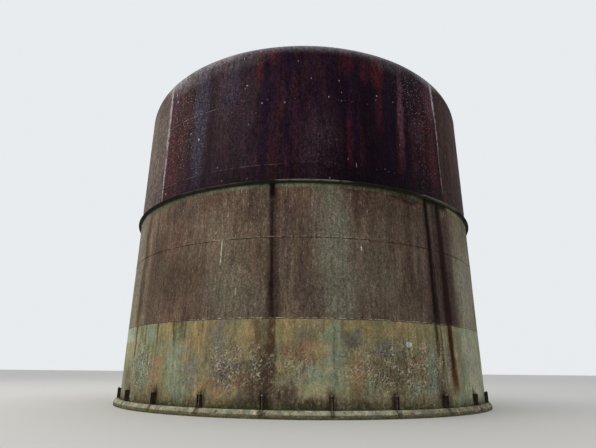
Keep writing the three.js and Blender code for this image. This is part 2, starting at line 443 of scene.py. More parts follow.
def ragged(place, vector, size, reach):
    """The unrolled wall with its places pushed about by up to reach, so that a mark's edge is uneven."""
    tree = vector.id_data
    sized = {"Vector": vector, "Scale": 1 / size, "Detail": 4.0}
    cloud = add_node(tree, "TexNoise", sized)["Color"]
    shares = add_node(tree, "SeparateColor", {0: cloud})
    both = add_node(tree, "CombineXYZ", {0: shares["Red"], 1: shares["Green"]})[0]
    pushed = {0: both, 1: (4 * reach, 4 * reach, 0), 2: (-2 * reach, -2 * reach, 0)}
    push = add_node(tree, "VectorMath", pushed, operation="MULTIPLY_ADD")[0]
    return add_node(tree, "VectorMath", {0: place["wall"], 1: push}, operation="ADD")[0]


def wavering(place, size, reach):
    """The place with its height pushed up and down by up to reach, for the edge of a level mark."""
    tree = place["tree"]
    sized = {"Vector": place["point"], "Scale": 1 / size, "Detail": 4.0, "Roughness": 0.6}
    cloud = add_node(tree, "TexNoise", sized)["Fac"]
    push = add_node(tree, "Math", {0: cloud, 1: 4 * reach, 2: -2 * reach}, operation="MULTIPLY_ADD")[0]
    height = add_node(tree, "Math", {0: place["height"], 1: push}, operation="ADD")[0]
    return place | {"height": height}


def flaked(place, size, edge, marks):
    """Islands of a coat round oval marks, torn at their edges as old paint peels, in flakes of that size."""
    tree = place["tree"]
    near = ovals(place["wall"], marks, {"From Max": 1.6})
    sized = {"Vector": place["point"], "Scale": 1 / size, "Detail": 6.0, "Roughness": 0.7}
    cloud = add_node(tree, "TexNoise", sized)["Fac"]
    torn = add_node(tree, "Math", {0: cloud, 1: 2.6, 2: near}, operation="MULTIPLY_ADD")[0]
    limits = {"Value": torn, "From Min": 1.78 - edge, "From Max": 1.78 + edge}
    return add_node(tree, "MapRange", limits, interpolation_type="SMOOTHSTEP")[0]


def streaked(wall, marks):
    """Runs down the wall: azimuth and height where each starts and ends, its half widths, its strength."""
    tree = wall.id_data
    parts = add_node(tree, "SeparateXYZ", {0: wall})
    cover = 0.0
    for start, head, end, foot, head_width, foot_width, strength in marks:
        down = {"Value": parts["Y"], "From Min": head, "From Max": foot}
        lean = {"To Min": shell_radius * math.radians(start), "To Max": shell_radius * math.radians(end)}
        middle = add_node(tree, "MapRange", down | lean)[0]
        spread = {"To Min": head_width, "To Max": foot_width}
        half_width = add_node(tree, "MapRange", down | spread)[0]
        off_middle = add_node(tree, "Math", {0: parts["X"], 1: middle}, operation="SUBTRACT")[0]
        share = add_node(tree, "Math", {0: off_middle, 1: half_width}, operation="DIVIDE")[0]
        aside = add_node(tree, "Math", {0: share}, operation="ABSOLUTE")[0]
        limits = {"Value": aside, "From Min": 0.4, "From Max": 1.5, "To Min": strength, "To Max": 0.0}
        run = add_node(tree, "MapRange", limits, interpolation_type="SMOOTHSTEP")[0]
        for limit, inside in ((head + 0.03, head - 0.03), (foot, foot + 0.25 * (head - foot))):
            limits = {"Value": parts["Y"], "From Min": limit, "From Max": inside}
            ended = add_node(tree, "MapRange", limits, interpolation_type="SMOOTHSTEP")[0]
            run = add_node(tree, "Math", {0: run, 1: ended}, operation="MULTIPLY")[0]
        cover = add_node(tree, "Math", {0: cover, 1: run}, operation="MAXIMUM")[0]
    return cover


def runs(place, spacing, length, width, share):
    """Thin runs that start at a point and fade as they go down the wall.

    Real ones are down to 5 mm wide, too fine to show, so none is drawn under 30 mm.
    """
    tree = place["tree"]
    scale = (1 / spacing, 1 / length, 1)
    vector = add_node(tree, "VectorMath", {0: place["around"], 1: scale}, operation="MULTIPLY")[0]
    cells = add_node(tree, "TexVoronoi", {"Vector": vector, "Scale": 1.0}, voronoi_dimensions="2D")
    offset = add_node(tree, "VectorMath", {0: vector, 1: cells["Position"]}, operation="SUBTRACT")[0]
    parts = add_node(tree, "SeparateXYZ", {0: offset})
    aside = add_node(tree, "Math", {0: parts["X"]}, operation="ABSOLUTE")[0]
    half_width = width / spacing / 2
    chance = add_node(tree, "SeparateColor", {0: cells["Color"]})["Red"]
    cover = add_node(tree, "Math", {0: chance, 1: share}, operation="LESS_THAN")[0]
    edges = [(aside, 1.3 * half_width, 0.7 * half_width), (parts["Y"], -0.5, 0.0), (parts["Y"], 0.03, 0.0)]
    for value, outside, inside in edges:
        limits = {"Value": value, "From Min": outside, "From Max": inside}
        edge = add_node(tree, "MapRange", limits)[0]
        cover = add_node(tree, "Math", {0: cover, 1: edge}, operation="MULTIPLY")[0]
    return cover


def seam_line(place, heights, half_width):
    """Level lines at these heights."""
    tree = place["tree"]
    cover = 0.0
    for height in heights:
        line = level_band(place, height - half_width, height + half_width, 0.4 * half_width)
        cover = add_node(tree, "Math", {0: cover, 1: line}, operation="MAXIMUM")[0]
    return cover


def plate_relief(upright):
    """The relief of old paint and rust on rolled plate: tall flakes, and pits.

    Real pits are 1 to 3 mm wide, too fine to show, so they are drawn 17 mm wide.
    """
    tree = upright.id_data
    flakes = blotches(upright, 0.09, 0.45, 0.55)
    grain = add_node(tree, "TexNoise", {"Vector": upright, "Scale": PITS_PER_METRE, "Detail": 3.0})["Fac"]
    return add_node(tree, "Math", {0: flakes, 1: 0.5, 2: grain}, operation="MULTIPLY_ADD")[0]


def worn_tan_paint():
    """Old chalky tan tank paint, matt and patchy, flaked down to mint and purple-grey coats below it."""
    finish = Finish("worn_chalky_tan_paint", "#776e53", 0.85)
    place = tank_place(finish.tree)
    point = place["point"]
    upright = add_node(finish.tree, "Mapping", {"Vector": point, "Scale": (1, 1, 0.6)})[0]
    streaky = add_node(finish.tree, "Mapping", {"Vector": point, "Scale": (1, 1, 0.12)})[0]
    lean = {"Vector": point, "Rotation": (0, 0.7, 0), "Scale": (1, 1, 2.4)}
    slanted = add_node(finish.tree, "Mapping", lean, vector_type="TEXTURE")[0]
    soft = ragged(place, upright, 0.5, 0.2)
    finish.lay("#857a5b", 0.85, blotches(upright, 0.8, 0.38, 0.62))
    finish.lay("#8b8468", 0.85, blotches(streaky, 0.2, 0.5, 0.7), 0.6)
    # Painted sheen: pale sage at both far edges stands for the sky's reflection at grazing angles
    painted_edge_sheen = marked(soft, 0.3, [(57, 1.9, 1.9, 2.6, 1.0), (-62, 1.0, 1.0, 1.4, 0.6)])
    finish.lay("#8a8c76", 0.8, painted_edge_sheen)
    finish.lay("#757c5f", 0.8, marked(soft, 0.6, [(-48, 2.2, 1.8, 1.3, 0.5)]))
    pale_marks = [
        (-0.5, 0.9, 0.7, 0.5, 0.6), (4, 1.5, 1.2, 0.8, 0.75), (-58, 2.3, 0.8, 0.6, 0.8),
        (26, 2.7, 0.9, 0.6, 0.4), (9, 0.5, 0.6, 0.3, 0.4), (-52, 2.8, 0.4, 0.4, 1.0),
        (20, 0.8, 0.4, 0.3, 0.5),
    ]
    finish.lay("#979071", 0.85, marked(soft, 0.6, pale_marks))
    ochre_marks = [
        (-36, 2.95, 0.6, 0.5, 1.0), (-25, 2.8, 0.65, 0.7, 1.1), (-13.3, 2.95, 0.35, 0.55, 1.1),
        (-4.5, 2.9, 0.4, 0.6, 1.0), (3.8, 2.3, 0.45, 0.65, 1.0), (12, 3.1, 0.45, 0.35, 1.0),
        (24, 2.9, 1.7, 0.5, 1.1),
    ]
    ochre = flaked(place, 0.5, 0.14, ochre_marks)
    finish.lay("#897a55", 0.85, ochre, 0.8)
    orange_marks = [
        (-39.4, 1.6, 0.35, 0.75, 0.9), (-21, 1.0, 0.8, 0.4, 0.8), (-14.5, 1.4, 0.4, 0.7, 0.7),
        (-0.8, 2.1, 0.6, 0.5, 1.0), (12.2, 1.5, 0.3, 1.0, 1.0), (29, 1.7, 0.5, 0.7, 0.7),
    ]
    orange = flaked(place, 0.36, 0.12, orange_marks)
    finish.lay("#866b50", 0.88, orange, 0.75)
    mint_marks = [
        (-48, 1.75, 0.95, 0.8, 1.0), (-44, 2.95, 0.5, 0.5, 1.0), (-32.5, 1.6, 0.55, 1.4, 0.95),
        (-31, 0.75, 0.7, 0.45, 1.0), (-10.8, 1.7, 0.3, 0.4, 0.9), (2, 1.45, 0.7, 0.4, 1.0),
        (7, 2.1, 0.4, 1.3, 0.95), (16, 1.0, 0.4, 0.4, 0.8), (28, 1.0, 0.35, 0.4, 0.8),
        (33, 1.6, 0.6, 1.0, 0.9), (46, 0.65, 0.6, 0.35, 1.0),
    ]
    mint = flaked(place, 0.42, 0.14, mint_marks)
    finish.lay("#7f8872", 0.8, mint, 0.75)
    grey_marks = [
        (-27, 1.5, 0.6, 0.5, 0.9), (-19.7, 2.65, 0.4, 0.65, 1.1), (-17.5, 1.75, 0.6, 0.7, 0.9),
        (11.5, 2.6, 0.35, 0.35, 1.0), (20, 2.3, 0.8, 0.35, 0.9),
    ]
    grey = flaked(place, 0.3, 0.12, grey_marks)
    finish.lay("#6d6960", 0.8, grey, 0.75)
    panel_edge = marked(place["wall"], 0.03, [(-60.5, 3.0, 1.0, 9.0, 1.0)])
    panel_height = level_band(wavering(place, 0.3, 0.02), 2.66, 3.5, 0.02)
    finish.lay("#959b84", 0.75, panel_edge, panel_height)
    stain_marks = [
        (-33.6, 2.9, 0.14, 0.5, 0.6), (-31, 3.0, 0.25, 0.4, 0.5), (-9.0, 2.6, 0.42, 0.9, 0.6),
        (-8.0, 1.6, 0.34, 1.3, 0.95), (-11.7, 1.2, 0.5, 0.8, 0.75), (-4, 0.8, 0.5, 0.3, 1.0),
        (-1.5, 0.4, 0.7, 0.2, 0.5), (-46, 0.5, 0.8, 0.4, 0.5), (-57, 1.1, 0.5, 0.7, 0.45),
        (0, 2.8, 0.4, 0.3, 0.3), (-38, 2.8, 0.4, 0.3, 0.25), (11, 2.5, 0.25, 0.3, 0.4),
        (22, 1.6, 0.7, 0.5, 0.45), (36.6, 1.4, 0.3, 0.7, 0.6), (36.2, 1.85, 0.45, 0.3, 0.5),
        (38.5, 1.9, 0.5, 1.4, 0.2), (45.5, 1.6, 0.25, 1.6, 0.3),
    ]
    stain = marked(soft, 0.6, stain_marks)
    finish.lay("#4c3e31", 0.88, stain, blotches(upright, 0.16, 0.26, 0.52))
    scoured_marks = [(55, 0.9, 1.1, 0.7, 0.8), (-52, 0.38, 0.3, 0.2, 0.8), (40, 0.4, 0.25, 0.2, 0.7)]
    finish.lay("#a09f84", 0.85, marked(soft, 0.6, scoured_marks))
    worn_marks = [
        (-48, 1.7, 0.9, 0.9, 0.9), (-17.5, 1.7, 0.8, 0.8, 0.85), (-9, 1.5, 0.6, 1.0, 1.0),
        (-1, 1.8, 0.8, 0.6, 0.7), (24, 1.6, 2.1, 1.0, 0.9), (37, 1.9, 0.7, 0.8, 0.8),
    ]
    worn = marked(soft, 0.7, worn_marks)
    primer = blotches(slanted, 0.28, 0.5, 0.54)
    finish.lay("#625749", 0.85, primer, worn, 0.5)
    sparse = blotches(point, 0.4, 0.42, 0.56)
    chipped = blotches(slanted, 0.06, 0.54, 0.57)
    finish.lay("#b3ad97", 0.8, worn, sparse, chipped, 0.85)
    finish.lay("#302820", 0.88, worn, blotches(point, 0.065, 0.53, 0.57), 0.85)
    finish.lay("#4d4433", 0.88, specks(upright, 0.2, 0.03, 0.2), 0.5)
    thin = ragged(place, streaky, 0.2, 0.06)
    main_run = streaked(thin, [(-7.0, 3.36, -7.6, 0.7, 0.12, 0.26, 1.0)])
    finish.lay("#3a2a1c", 0.88, main_run, blotches(upright, 0.18, 0.3, 0.56), 0.8)
    streaks = [
        (35.4, 3.36, 35.7, 1.9, 0.1, 0.12, 0.65), (37.4, 3.36, 37.6, 1.5, 0.08, 0.1, 0.6),
        (-7.0, 3.36, -7.3, 1.8, 0.12, 0.1, 0.4), (-52.6, 3.36, -52.8, 1.8, 0.09, 0.08, 0.85),
        (7.2, 3.2, 7.4, 0.9, 0.05, 0.05, 0.3), (-40.4, 3.36, -40.4, 2.4, 0.08, 0.06, 0.7),
        (-34.0, 3.36, -33.3, 2.5, 0.07, 0.06, 0.6), (-46.4, 3.36, -46.4, 2.4, 0.06, 0.05, 0.4),
        (-29.7, 3.36, -30.0, 2.5, 0.06, 0.05, 0.45), (-24.4, 3.36, -24.4, 2.8, 0.06, 0.04, 0.4),
        (-10.8, 3.36, -10.4, 2.3, 0.09, 0.06, 0.45),
    ]
    finish.lay("#3f2c16", 0.88, streaked(thin, streaks))
    between = streaked(thin, [(38.7, 3.2, 39.2, 0.8, 0.1, 0.14, 0.6)])
    finish.lay("#8f8a72", 0.85, between, blotches(upright, 0.16, 0.36, 0.56))
    rust_run = streaked(ragged(place, upright, 0.3, 0.07), [(41.1, 3.36, 42.2, 0.5, 0.2, 0.2, 1.1)])
    finish.lay("#4d3216", 0.88, rust_run, blotches(upright, 0.14, 0.24, 0.46))
    cores = [(41.2, 3.36, 41.8, 1.3, 0.12, 0.08, 0.95), (35.5, 3.36, 35.7, 2.6, 0.05, 0.04, 0.7)]
    finish.lay("#281606", 0.88, streaked(thin, cores))
    rust_runs = runs(place, 0.4, 1.8, 0.07, 0.45)
    finish.lay("#5e4a31", 0.88, rust_runs, 0.4)
    chair = chair_place(place)
    smudge = marked(chair, 0.7, [(0, 0.6, 0.17, 0.3, 0.95)])
    finish.lay("#2d251a", 0.9, smudge, blotches(upright, 0.1, 0.32, 0.52))
    big_smudges = marked(soft, 0.7, [(-39, 0.75, 0.45, 0.35, 0.6), (-8.7, 0.9, 0.4, 0.5, 0.6)])
    finish.lay("#33281d", 0.9, big_smudges)
    uneven = wavering(place, 0.7, 0.12)
    damp = level_band(uneven, UNDERGROUND, 0.5, 0.2)
    finish.lay("#4a4233", 0.92, damp, 0.5)
    finish.lay("#2f2b1e", 0.92, damp, blotches(point, 0.09, 0.5, 0.6), 0.8)
    foot_marks = [
        (0, 0.42, 0.8, 0.26, 0.8), (12, 0.42, 1.1, 0.22, 0.5), (-11, 0.42, 0.7, 0.24, 0.7),
        (-25, 0.42, 0.5, 0.25, 0.5), (36.5, 0.5, 0.4, 0.35, 0.6),
    ]
    foot_stain = marked(soft, 0.6, foot_marks)
    finish.lay("#2f2a1d", 0.92, foot_stain, blotches(upright, 0.12, 0.34, 0.54))
    moss = level_band(uneven, UNDERGROUND, 0.34, 0.08)
    finish.lay("#3c4023", 0.95, moss, blotches(point, 0.3, 0.42, 0.56))
    seam = seam_line(place, [course_heads[0]], 0.024)
    finish.lay("#332b20", 0.85, seam, blotches(point, 0.3, 0.36, 0.46))
    spot = marked(ragged(place, point, 0.1, 0.008), 0.15, [(26.1, 2.49, 0.13, 0.1, 1.0)])
    finish.lay("#4d4c3e", 0.85, marked(thin, 0.4, [(26.1, 2.33, 0.07, 0.06, 0.7)]))
    finish.lay("#b6b4b0", 0.7, spot)
    for vector, size, shade, hue in (
        (point, 1.0, 0.14, 0.12), (streaky, 0.16, 0.18, 0.0), (upright, 0.3, 0.14, 0.06),
        (upright, 0.085, 0.2, 0.0), (point, 0.05, 0.28, 0.0),
    ):
        finish.mottle(vector, size, shade, hue)
    return finish.complete(plate_relief(upright), 0.006, 0.12)


def rust_bled_brown_paint():
    """Paint that rust has bled through, dull brown, with fine upright runs all over it."""
    finish = Finish("rust_bled_brown_paint", "#5b4d40", 0.85)
    place = tank_place(finish.tree)
    point = place["point"]
    upright = add_node(finish.tree, "Mapping", {"Vector": point, "Scale": (1, 1, 0.5)})[0]
    streaky = add_node(finish.tree, "Mapping", {"Vector": point, "Scale": (1, 1, 0.1)})[0]
    soft = ragged(place, upright, 0.8, 0.25)
    finish.lay("#67584a", 0.85, blotches(upright, 1.3, 0.4, 0.6))
    finish.lay("#53453a", 0.85, blotches(streaky, 0.35, 0.45, 0.65))
    # Red, purple and two grey blooms, a painted sky reflection on both far edges, light and beige places,
    # then the dark ones
    for hex_colour, roughness, softness, marks in (
        ("#624638", 0.85, 0.6, [
            (-33, 4.4, 1.3, 1.3, 0.25), (-38, 7.0, 1.0, 1.2, 0.25), (-24, 8.0, 0.7, 0.5, 0.4),
            (-13.5, 5.6, 0.4, 1.2, 0.45), (-2.5, 7.9, 0.8, 0.6, 0.35), (17, 8.0, 0.8, 0.5, 0.4),
        ]),
        ("#4c3d3d", 0.85, 0.6, [
            (-36, 7.9, 0.6, 0.4, 0.5), (-4.5, 6.6, 0.4, 1.6, 0.4), (2, 4.6, 0.7, 1.1, 0.4),
            (33, 6.0, 0.6, 2.4, 0.3),
        ]),
        ("#636052", 0.85, 0.6, [
            (-18, 4.4, 1.1, 1.4, 0.55), (7.5, 6.9, 0.7, 1.8, 0.8), (9, 4.5, 0.9, 1.2, 0.6),
            (-11, 3.8, 0.6, 0.6, 0.4), (17, 5.0, 1.0, 1.4, 0.3),
        ]),
        ("#6f6b5b", 0.85, 0.6, [(8.2, 5.4, 0.5, 3.2, 0.75)]),
        # Painted reflection of the bright sky on both far edges, where the wall is seen at a grazing angle
        ("#7f7b6a", 0.85, 0.5, [
            (57, 4.6, 1.6, 3.6, 0.9), (52.3, 4.3, 0.8, 2.4, 0.85), (-62, 5.8, 1.3, 4.5, 0.7),
        ]),
        ("#746556", 0.85, 0.7, [
            (-20, 6.5, 1.1, 1.2, 0.6), (-17, 5.4, 0.5, 0.8, 0.4), (-24, 7.2, 0.8, 0.6, 0.4),
        ]),
        ("#7b6b5b", 0.85, 0.6, [
            (-55.5, 5.0, 0.22, 2.6, 0.9), (-49, 5.5, 0.3, 2.6, 0.5), (51.5, 7.6, 0.6, 0.9, 0.6),
        ]),
        ("#84785d", 0.85, 0.6, [(-53.5, 3.5, 0.7, 0.5, 0.8)]),
        ("#41342c", 0.85, 0.6, [
            (-52.3, 6.5, 0.25, 2.0, 0.7), (-52.8, 4.2, 0.25, 1.1, 0.7), (-46.2, 5.0, 0.5, 1.8, 0.5),
            (-34, 5.0, 1.0, 1.0, 0.55), (-13, 7.8, 0.7, 0.8, 0.45), (24, 7.9, 2.0, 0.75, 0.75),
            (27, 6.8, 1.0, 1.2, 0.35), (31.3, 6.0, 0.13, 2.6, 0.5), (41, 8.35, 0.8, 0.2, 0.7),
            (28.5, 8.4, 0.5, 0.15, 0.6), (45, 7.5, 0.5, 0.7, 0.35), (57.5, 7.4, 0.5, 0.8, 0.35),
        ]),
    ):
        finish.lay(hex_colour, roughness, marked(soft, softness, marks))
    thin = ragged(place, streaky, 0.3, 0.05)
    dash_marks = [
        (-15, 7.4, 1.6, 1.4, 1.0), (-2.5, 7.6, 0.7, 0.9, 1.0), (3, 7.2, 0.6, 1.4, 0.9),
        (14, 7.3, 0.8, 1.3, 1.0), (24, 6.4, 1.6, 2.0, 0.5), (-30, 6.0, 2.6, 2.6, 0.35),
        (5, 4.8, 4.0, 1.6, 0.5),
    ]
    dashed = marked(soft, 0.6, dash_marks)
    for spacing, length, width, share in ((0.11, 0.32, 0.03, 0.3), (0.17, 0.5, 0.035, 0.25)):
        light_runs = runs(place, spacing, length, width, share)
        finish.lay("#958a77", 0.8, light_runs, dashed, 0.6)
    finish.lay("#8f806a", 0.8, specks(upright, 0.16, 0.028, 0.16), 0.5)
    halos = [
        (-7.4, 8.6, -6.8, 2.0, 0.17, 0.26, 0.85), (35.2, 8.6, 36.3, 2.2, 0.18, 0.5, 0.8),
        (40.6, 8.6, 41.7, 2.2, 0.25, 0.9, 0.9), (38.4, 8.4, 39.0, 2.2, 0.1, 0.7, 0.8),
        (43.5, 8.0, 44.6, 2.2, 0.25, 0.45, 0.7), (28.4, 8.4, 28.9, 3.2, 0.12, 0.2, 0.45),
        (-17, 8.0, -17, 5.0, 0.06, 0.1, 0.35), (13.5, 8.5, 13.6, 6.4, 0.14, 0.1, 0.5),
    ]
    finish.lay("#3a2a26", 0.85, streaked(thin, halos))
    cores = [
        (-7.7, 8.7, -7.4, 5.0, 0.07, 0.09, 0.35), (-7.5, 7.5, -7.1, 2.6, 0.04, 0.11, 0.75),
        (35.4, 8.7, 35.8, 2.4, 0.11, 0.14, 1.0), (36.7, 5.8, 37.1, 2.3, 0.05, 0.09, 0.7),
        (40.5, 8.7, 41.5, 2.2, 0.1, 0.3, 1.0),
    ]
    finish.lay("#150a08", 0.8, streaked(thin, cores))
    red_core = streaked(thin, [(41.0, 7.8, 41.9, 2.3, 0.08, 0.2, 0.65)])
    finish.lay("#2a0b09", 0.8, red_core)
    drips = [
        (-20.6, 6.36, -20.7, 5.3, 0.03, 0.015, 0.75), (-16.9, 6.6, -17.0, 5.6, 0.02, 0.015, 0.25),
        (-16.2, 4.45, -16.2, 4.15, 0.03, 0.02, 0.5), (14.4, 6.08, 14.4, 5.9, 0.03, 0.03, 1.0),
        (-22.6, 6.75, -22.6, 6.65, 0.03, 0.03, 0.6),
    ]
    finish.lay("#b3ac98", 0.8, streaked(place["wall"], drips))
    under_ring = marked(soft, 0.5, [(22, stiffener_foot - 0.27, 2.0, 0.08, 0.75)])
    finish.lay("#42251f", 0.85, under_ring)
    uneven = wavering(place, 0.6, 0.03)
    algae = level_band(uneven, stiffener_foot - 0.17, stiffener_foot + 0.1, 0.07)
    finish.lay("#6b6d58", 0.9, algae, blotches(point, 1.1, 0.3, 0.55))
    green = level_band(uneven, stiffener_foot - 0.06, stiffener_foot + 0.1, 0.05)
    finish.lay("#3a4222", 0.9, green, 0.8)
    algae_marks = [
        (20, 8.5, 1.6, 0.3, 0.6), (-10, 8.5, 0.7, 0.3, 0.5), (40.5, 8.5, 1.1, 0.4, 1.3),
        (28, 8.5, 0.5, 0.3, 0.6), (-42, 8.5, 2.4, 0.3, 0.55),
    ]
    finish.lay("#2b2816", 0.9, algae, marked(soft, 0.5, algae_marks))
    sooted = marked(soft, 0.5, [(40.5, 8.5, 0.9, 0.22, 0.8), (29, 8.5, 0.9, 0.2, 0.5)])
    finish.lay("#1d1a10", 0.9, sooted)
    washed = marked(soft, 0.5, [(50.5, 8.4, 0.7, 0.4, 0.9), (-56.5, 8.4, 0.3, 0.3, 0.5)])
    finish.lay("#7d795f", 0.9, algae, washed)
    notches = [
        (-7.8, 8.9, -7.7, 7.9, 0.15, 0.1, 1.0), (35.3, 8.9, 35.3, 8.0, 0.11, 0.08, 0.95),
        (40.6, 8.9, 40.6, 8.2, 0.09, 0.06, 0.9),
    ]
    finish.lay("#0d0a08", 0.85, streaked(place["wall"], notches))
    shade = level_band(place, stiffener_foot - 0.015, stiffener_top, 0.035)
    finish.lay("#17140d", 0.9, shade)
    under_seam = seam_line(place, [course_heads[1] - 0.018], 0.016)
    finish.lay("#221a14", 0.85, under_seam, blotches(point, 0.25, 0.4, 0.48))
    over_seam = seam_line(place, [course_heads[0] + 0.014, course_heads[1] + 0.014], 0.013)
    worn_seams = [
        (-16, 6.38, 1.5, 0.2, 0.5), (1, 6.38, 1.9, 0.2, 0.6), (-20, 3.33, 1.6, 0.2, 0.9),
        (8, 3.33, 5.4, 0.2, 0.9),
    ]
    light_seam = marked(place["wall"], 0.5, worn_seams)
    broken = blotches(point, 0.2, 0.44, 0.56)
    finish.lay("#a1967f", 0.8, over_seam, light_seam, broken)
    for vector, size, shade, hue in (
        (upright, 0.9, 0.1, 0.08), (streaky, 0.12, 0.18, 0.0), (upright, 0.25, 0.1, 0.05),
        (upright, 0.08, 0.3, 0.0), (point, 0.05, 0.42, 0.0),
    ):
        finish.mottle(vector, size, shade, hue)
    return finish.complete(plate_relief(upright), 0.005, 0.065)


def sooty_maroon_primer():
    """Old maroon primer under soot and rust: very dark, with a faint sheen, pale flecks and dry runs."""
    finish = Finish("sooty_maroon_primer", "#281522", 0.5)
    place = tank_place(finish.tree)
    point = place["point"]
    upright = add_node(finish.tree, "Mapping", {"Vector": point, "Scale": (1, 1, 0.5)})[0]
    streaky = add_node(finish.tree, "Mapping", {"Vector": point, "Scale": (1, 1, 0.12)})[0]
    soft = ragged(place, upright, 0.6, 0.12)
    finish.lay("#1e0f1d", 0.5, blotches(upright, 0.9, 0.42, 0.6))
    finish.lay("#2e191c", 0.55, blotches(streaky, 0.25, 0.48, 0.64))
    # Brown blooms, a pale haze that is partly painted sheen, soot and a dark red bloom
    for hex_colour, roughness, softness, marks in (
        ("#412a27", 0.55, 0.6, [
            (-41, 11.6, 0.95, 4.2, 0.8), (-24, 12.5, 0.6, 3.0, 0.3), (50, 12.0, 1.0, 4.5, 0.6),
        ]),
        # Pale haze: partly a paler bloom of the primer, partly painted sheen of the sky
        ("#32252b", 0.55, 0.7, [
            (-20.5, 12.4, 1.4, 3.4, 0.85), (-14, 13.2, 0.6, 1.5, 0.6), (5, 10.2, 0.75, 1.8, 0.9),
            (-29, 10.0, 1.2, 0.9, 0.2),
        ]),
        ("#120510", 0.5, 0.6, [
            (23, 11.6, 2.4, 3.6, 0.85), (18, 9.6, 2.0, 1.6, 0.95), (12, 13.4, 1.2, 1.5, 0.5),
            (36, 10.6, 1.9, 3.2, 1.0), (-28, 11.6, 0.35, 2.6, 0.5), (-31, 10.2, 1.0, 2.2, 0.35),
            (48, 12.2, 0.5, 5.0, 0.6),
        ]),
        ("#26040c", 0.55, 0.6, [(40, 10.6, 1.0, 3.4, 0.85)]),
    ):
        finish.lay(hex_colour, roughness, marked(soft, softness, marks))
    navy_marks = [
        (-10.5, 12.4, 0.25, 3.4, 0.85), (14, 12.0, 0.22, 3.0, 0.6), (24.4, 12.2, 0.16, 3.2, 0.6),
        (-5, 14.2, 0.5, 0.8, 0.6), (33.5, 9.6, 0.35, 0.9, 0.6),
    ]
    finish.lay("#180d1f", 0.5, marked(soft, 0.6, navy_marks), 0.85)
    # Upright bands of blue-grey, red and mauve
    for hex_colour, roughness, softness, marks in (
        ("#38313d", 0.5, 0.55, [
            (-31, 12.4, 0.42, 3.4, 0.9), (-21.5, 13.4, 0.4, 1.0, 0.6), (34.5, 11.8, 0.3, 0.6, 0.5),
        ]),
        ("#421a1d", 0.55, 0.6, [
            (-44, 10.4, 0.28, 2.4, 0.6), (-40, 11.6, 0.25, 3.0, 0.5), (-12.3, 14.4, 0.2, 1.0, 0.8),
            (-8.5, 14.9, 0.3, 0.6, 0.5), (12.5, 10.6, 0.12, 1.6, 0.3), (15.5, 10.6, 0.12, 1.6, 0.25),
            (12.5, 14.5, 0.3, 0.7, 0.5), (17.5, 14.5, 0.2, 0.8, 0.6), (21.2, 14.3, 0.3, 1.0, 0.9),
            (21.5, 12.6, 0.2, 1.2, 0.4), (27.6, 10.2, 0.12, 1.4, 0.45), (32.6, 11.0, 0.16, 2.2, 0.5),
            (36.5, 12.2, 0.2, 1.8, 0.5), (40.8, 11.6, 0.3, 2.6, 0.6), (50, 11.5, 0.2, 3.4, 0.6),
            (54, 10.0, 0.2, 2.4, 0.6),
        ]),
        ("#4a2c37", 0.55, 0.5, [
            (28.6, 12.9, 0.16, 2.6, 0.95), (42.0, 13.9, 0.4, 1.0, 0.9), (-43, 13.6, 0.4, 0.8, 0.4),
        ]),
    ):
        finish.lay(hex_colour, roughness, marked(soft, softness, marks))
    damp = level_band(wavering(place, 0.8, 0.05), stiffener_top, course_heads[2], 0.1)
    finish.lay("#140a10", 0.5, damp, 0.35)
    damp_marks = marked(soft, 0.5, [(20, 9.0, 1.9, 0.9, 0.85), (35, 9.0, 1.0, 0.9, 0.5)])
    finish.lay("#120810", 0.5, damp, damp_marks)
    # Left of the pale stripe the primer turns to a chalky coat, painted lighter still as sheen towards the
    # left edge
    chalky_and_sheen_left = marked(place["wall"], 0.012, [(-68.5, 12.0, 3.4, 60.0, 0.95)])
    finish.lay("#60544e", 0.65, chalky_and_sheen_left)
    chalky_right = marked(place["wall"], 0.02, [(67.4, 12.0, 3.55, 60.0, 0.75)])
    finish.lay("#382422", 0.6, chalky_right)
    orange_runs = blotches(streaky, 0.3, 0.52, 0.6)
    finish.lay("#553425", 0.6, chalky_right, orange_runs, 0.55)
    sooty_marks = [
        (-52, 14.8, 1.0, 1.1, 0.3), (-49, 9.0, 0.6, 0.5, 0.3), (48.5, 11.4, 0.5, 3.6, 0.4),
        (81, 10.6, 1.1, 2.6, 0.7), (70, 13.8, 0.7, 1.4, 0.4), (-76, 11.2, 1.2, 3.0, 0.7),
        (-88, 13.6, 0.8, 1.6, 0.5),
    ]
    finish.lay("#30211f", 0.6, marked(soft, 0.6, sooty_marks))
    # Painted sheen, lighter towards the left edge
    finish.lay("#70645c", 0.65, marked(soft, 0.6, [(-61, 13.0, 0.9, 2.4, 0.5)]))
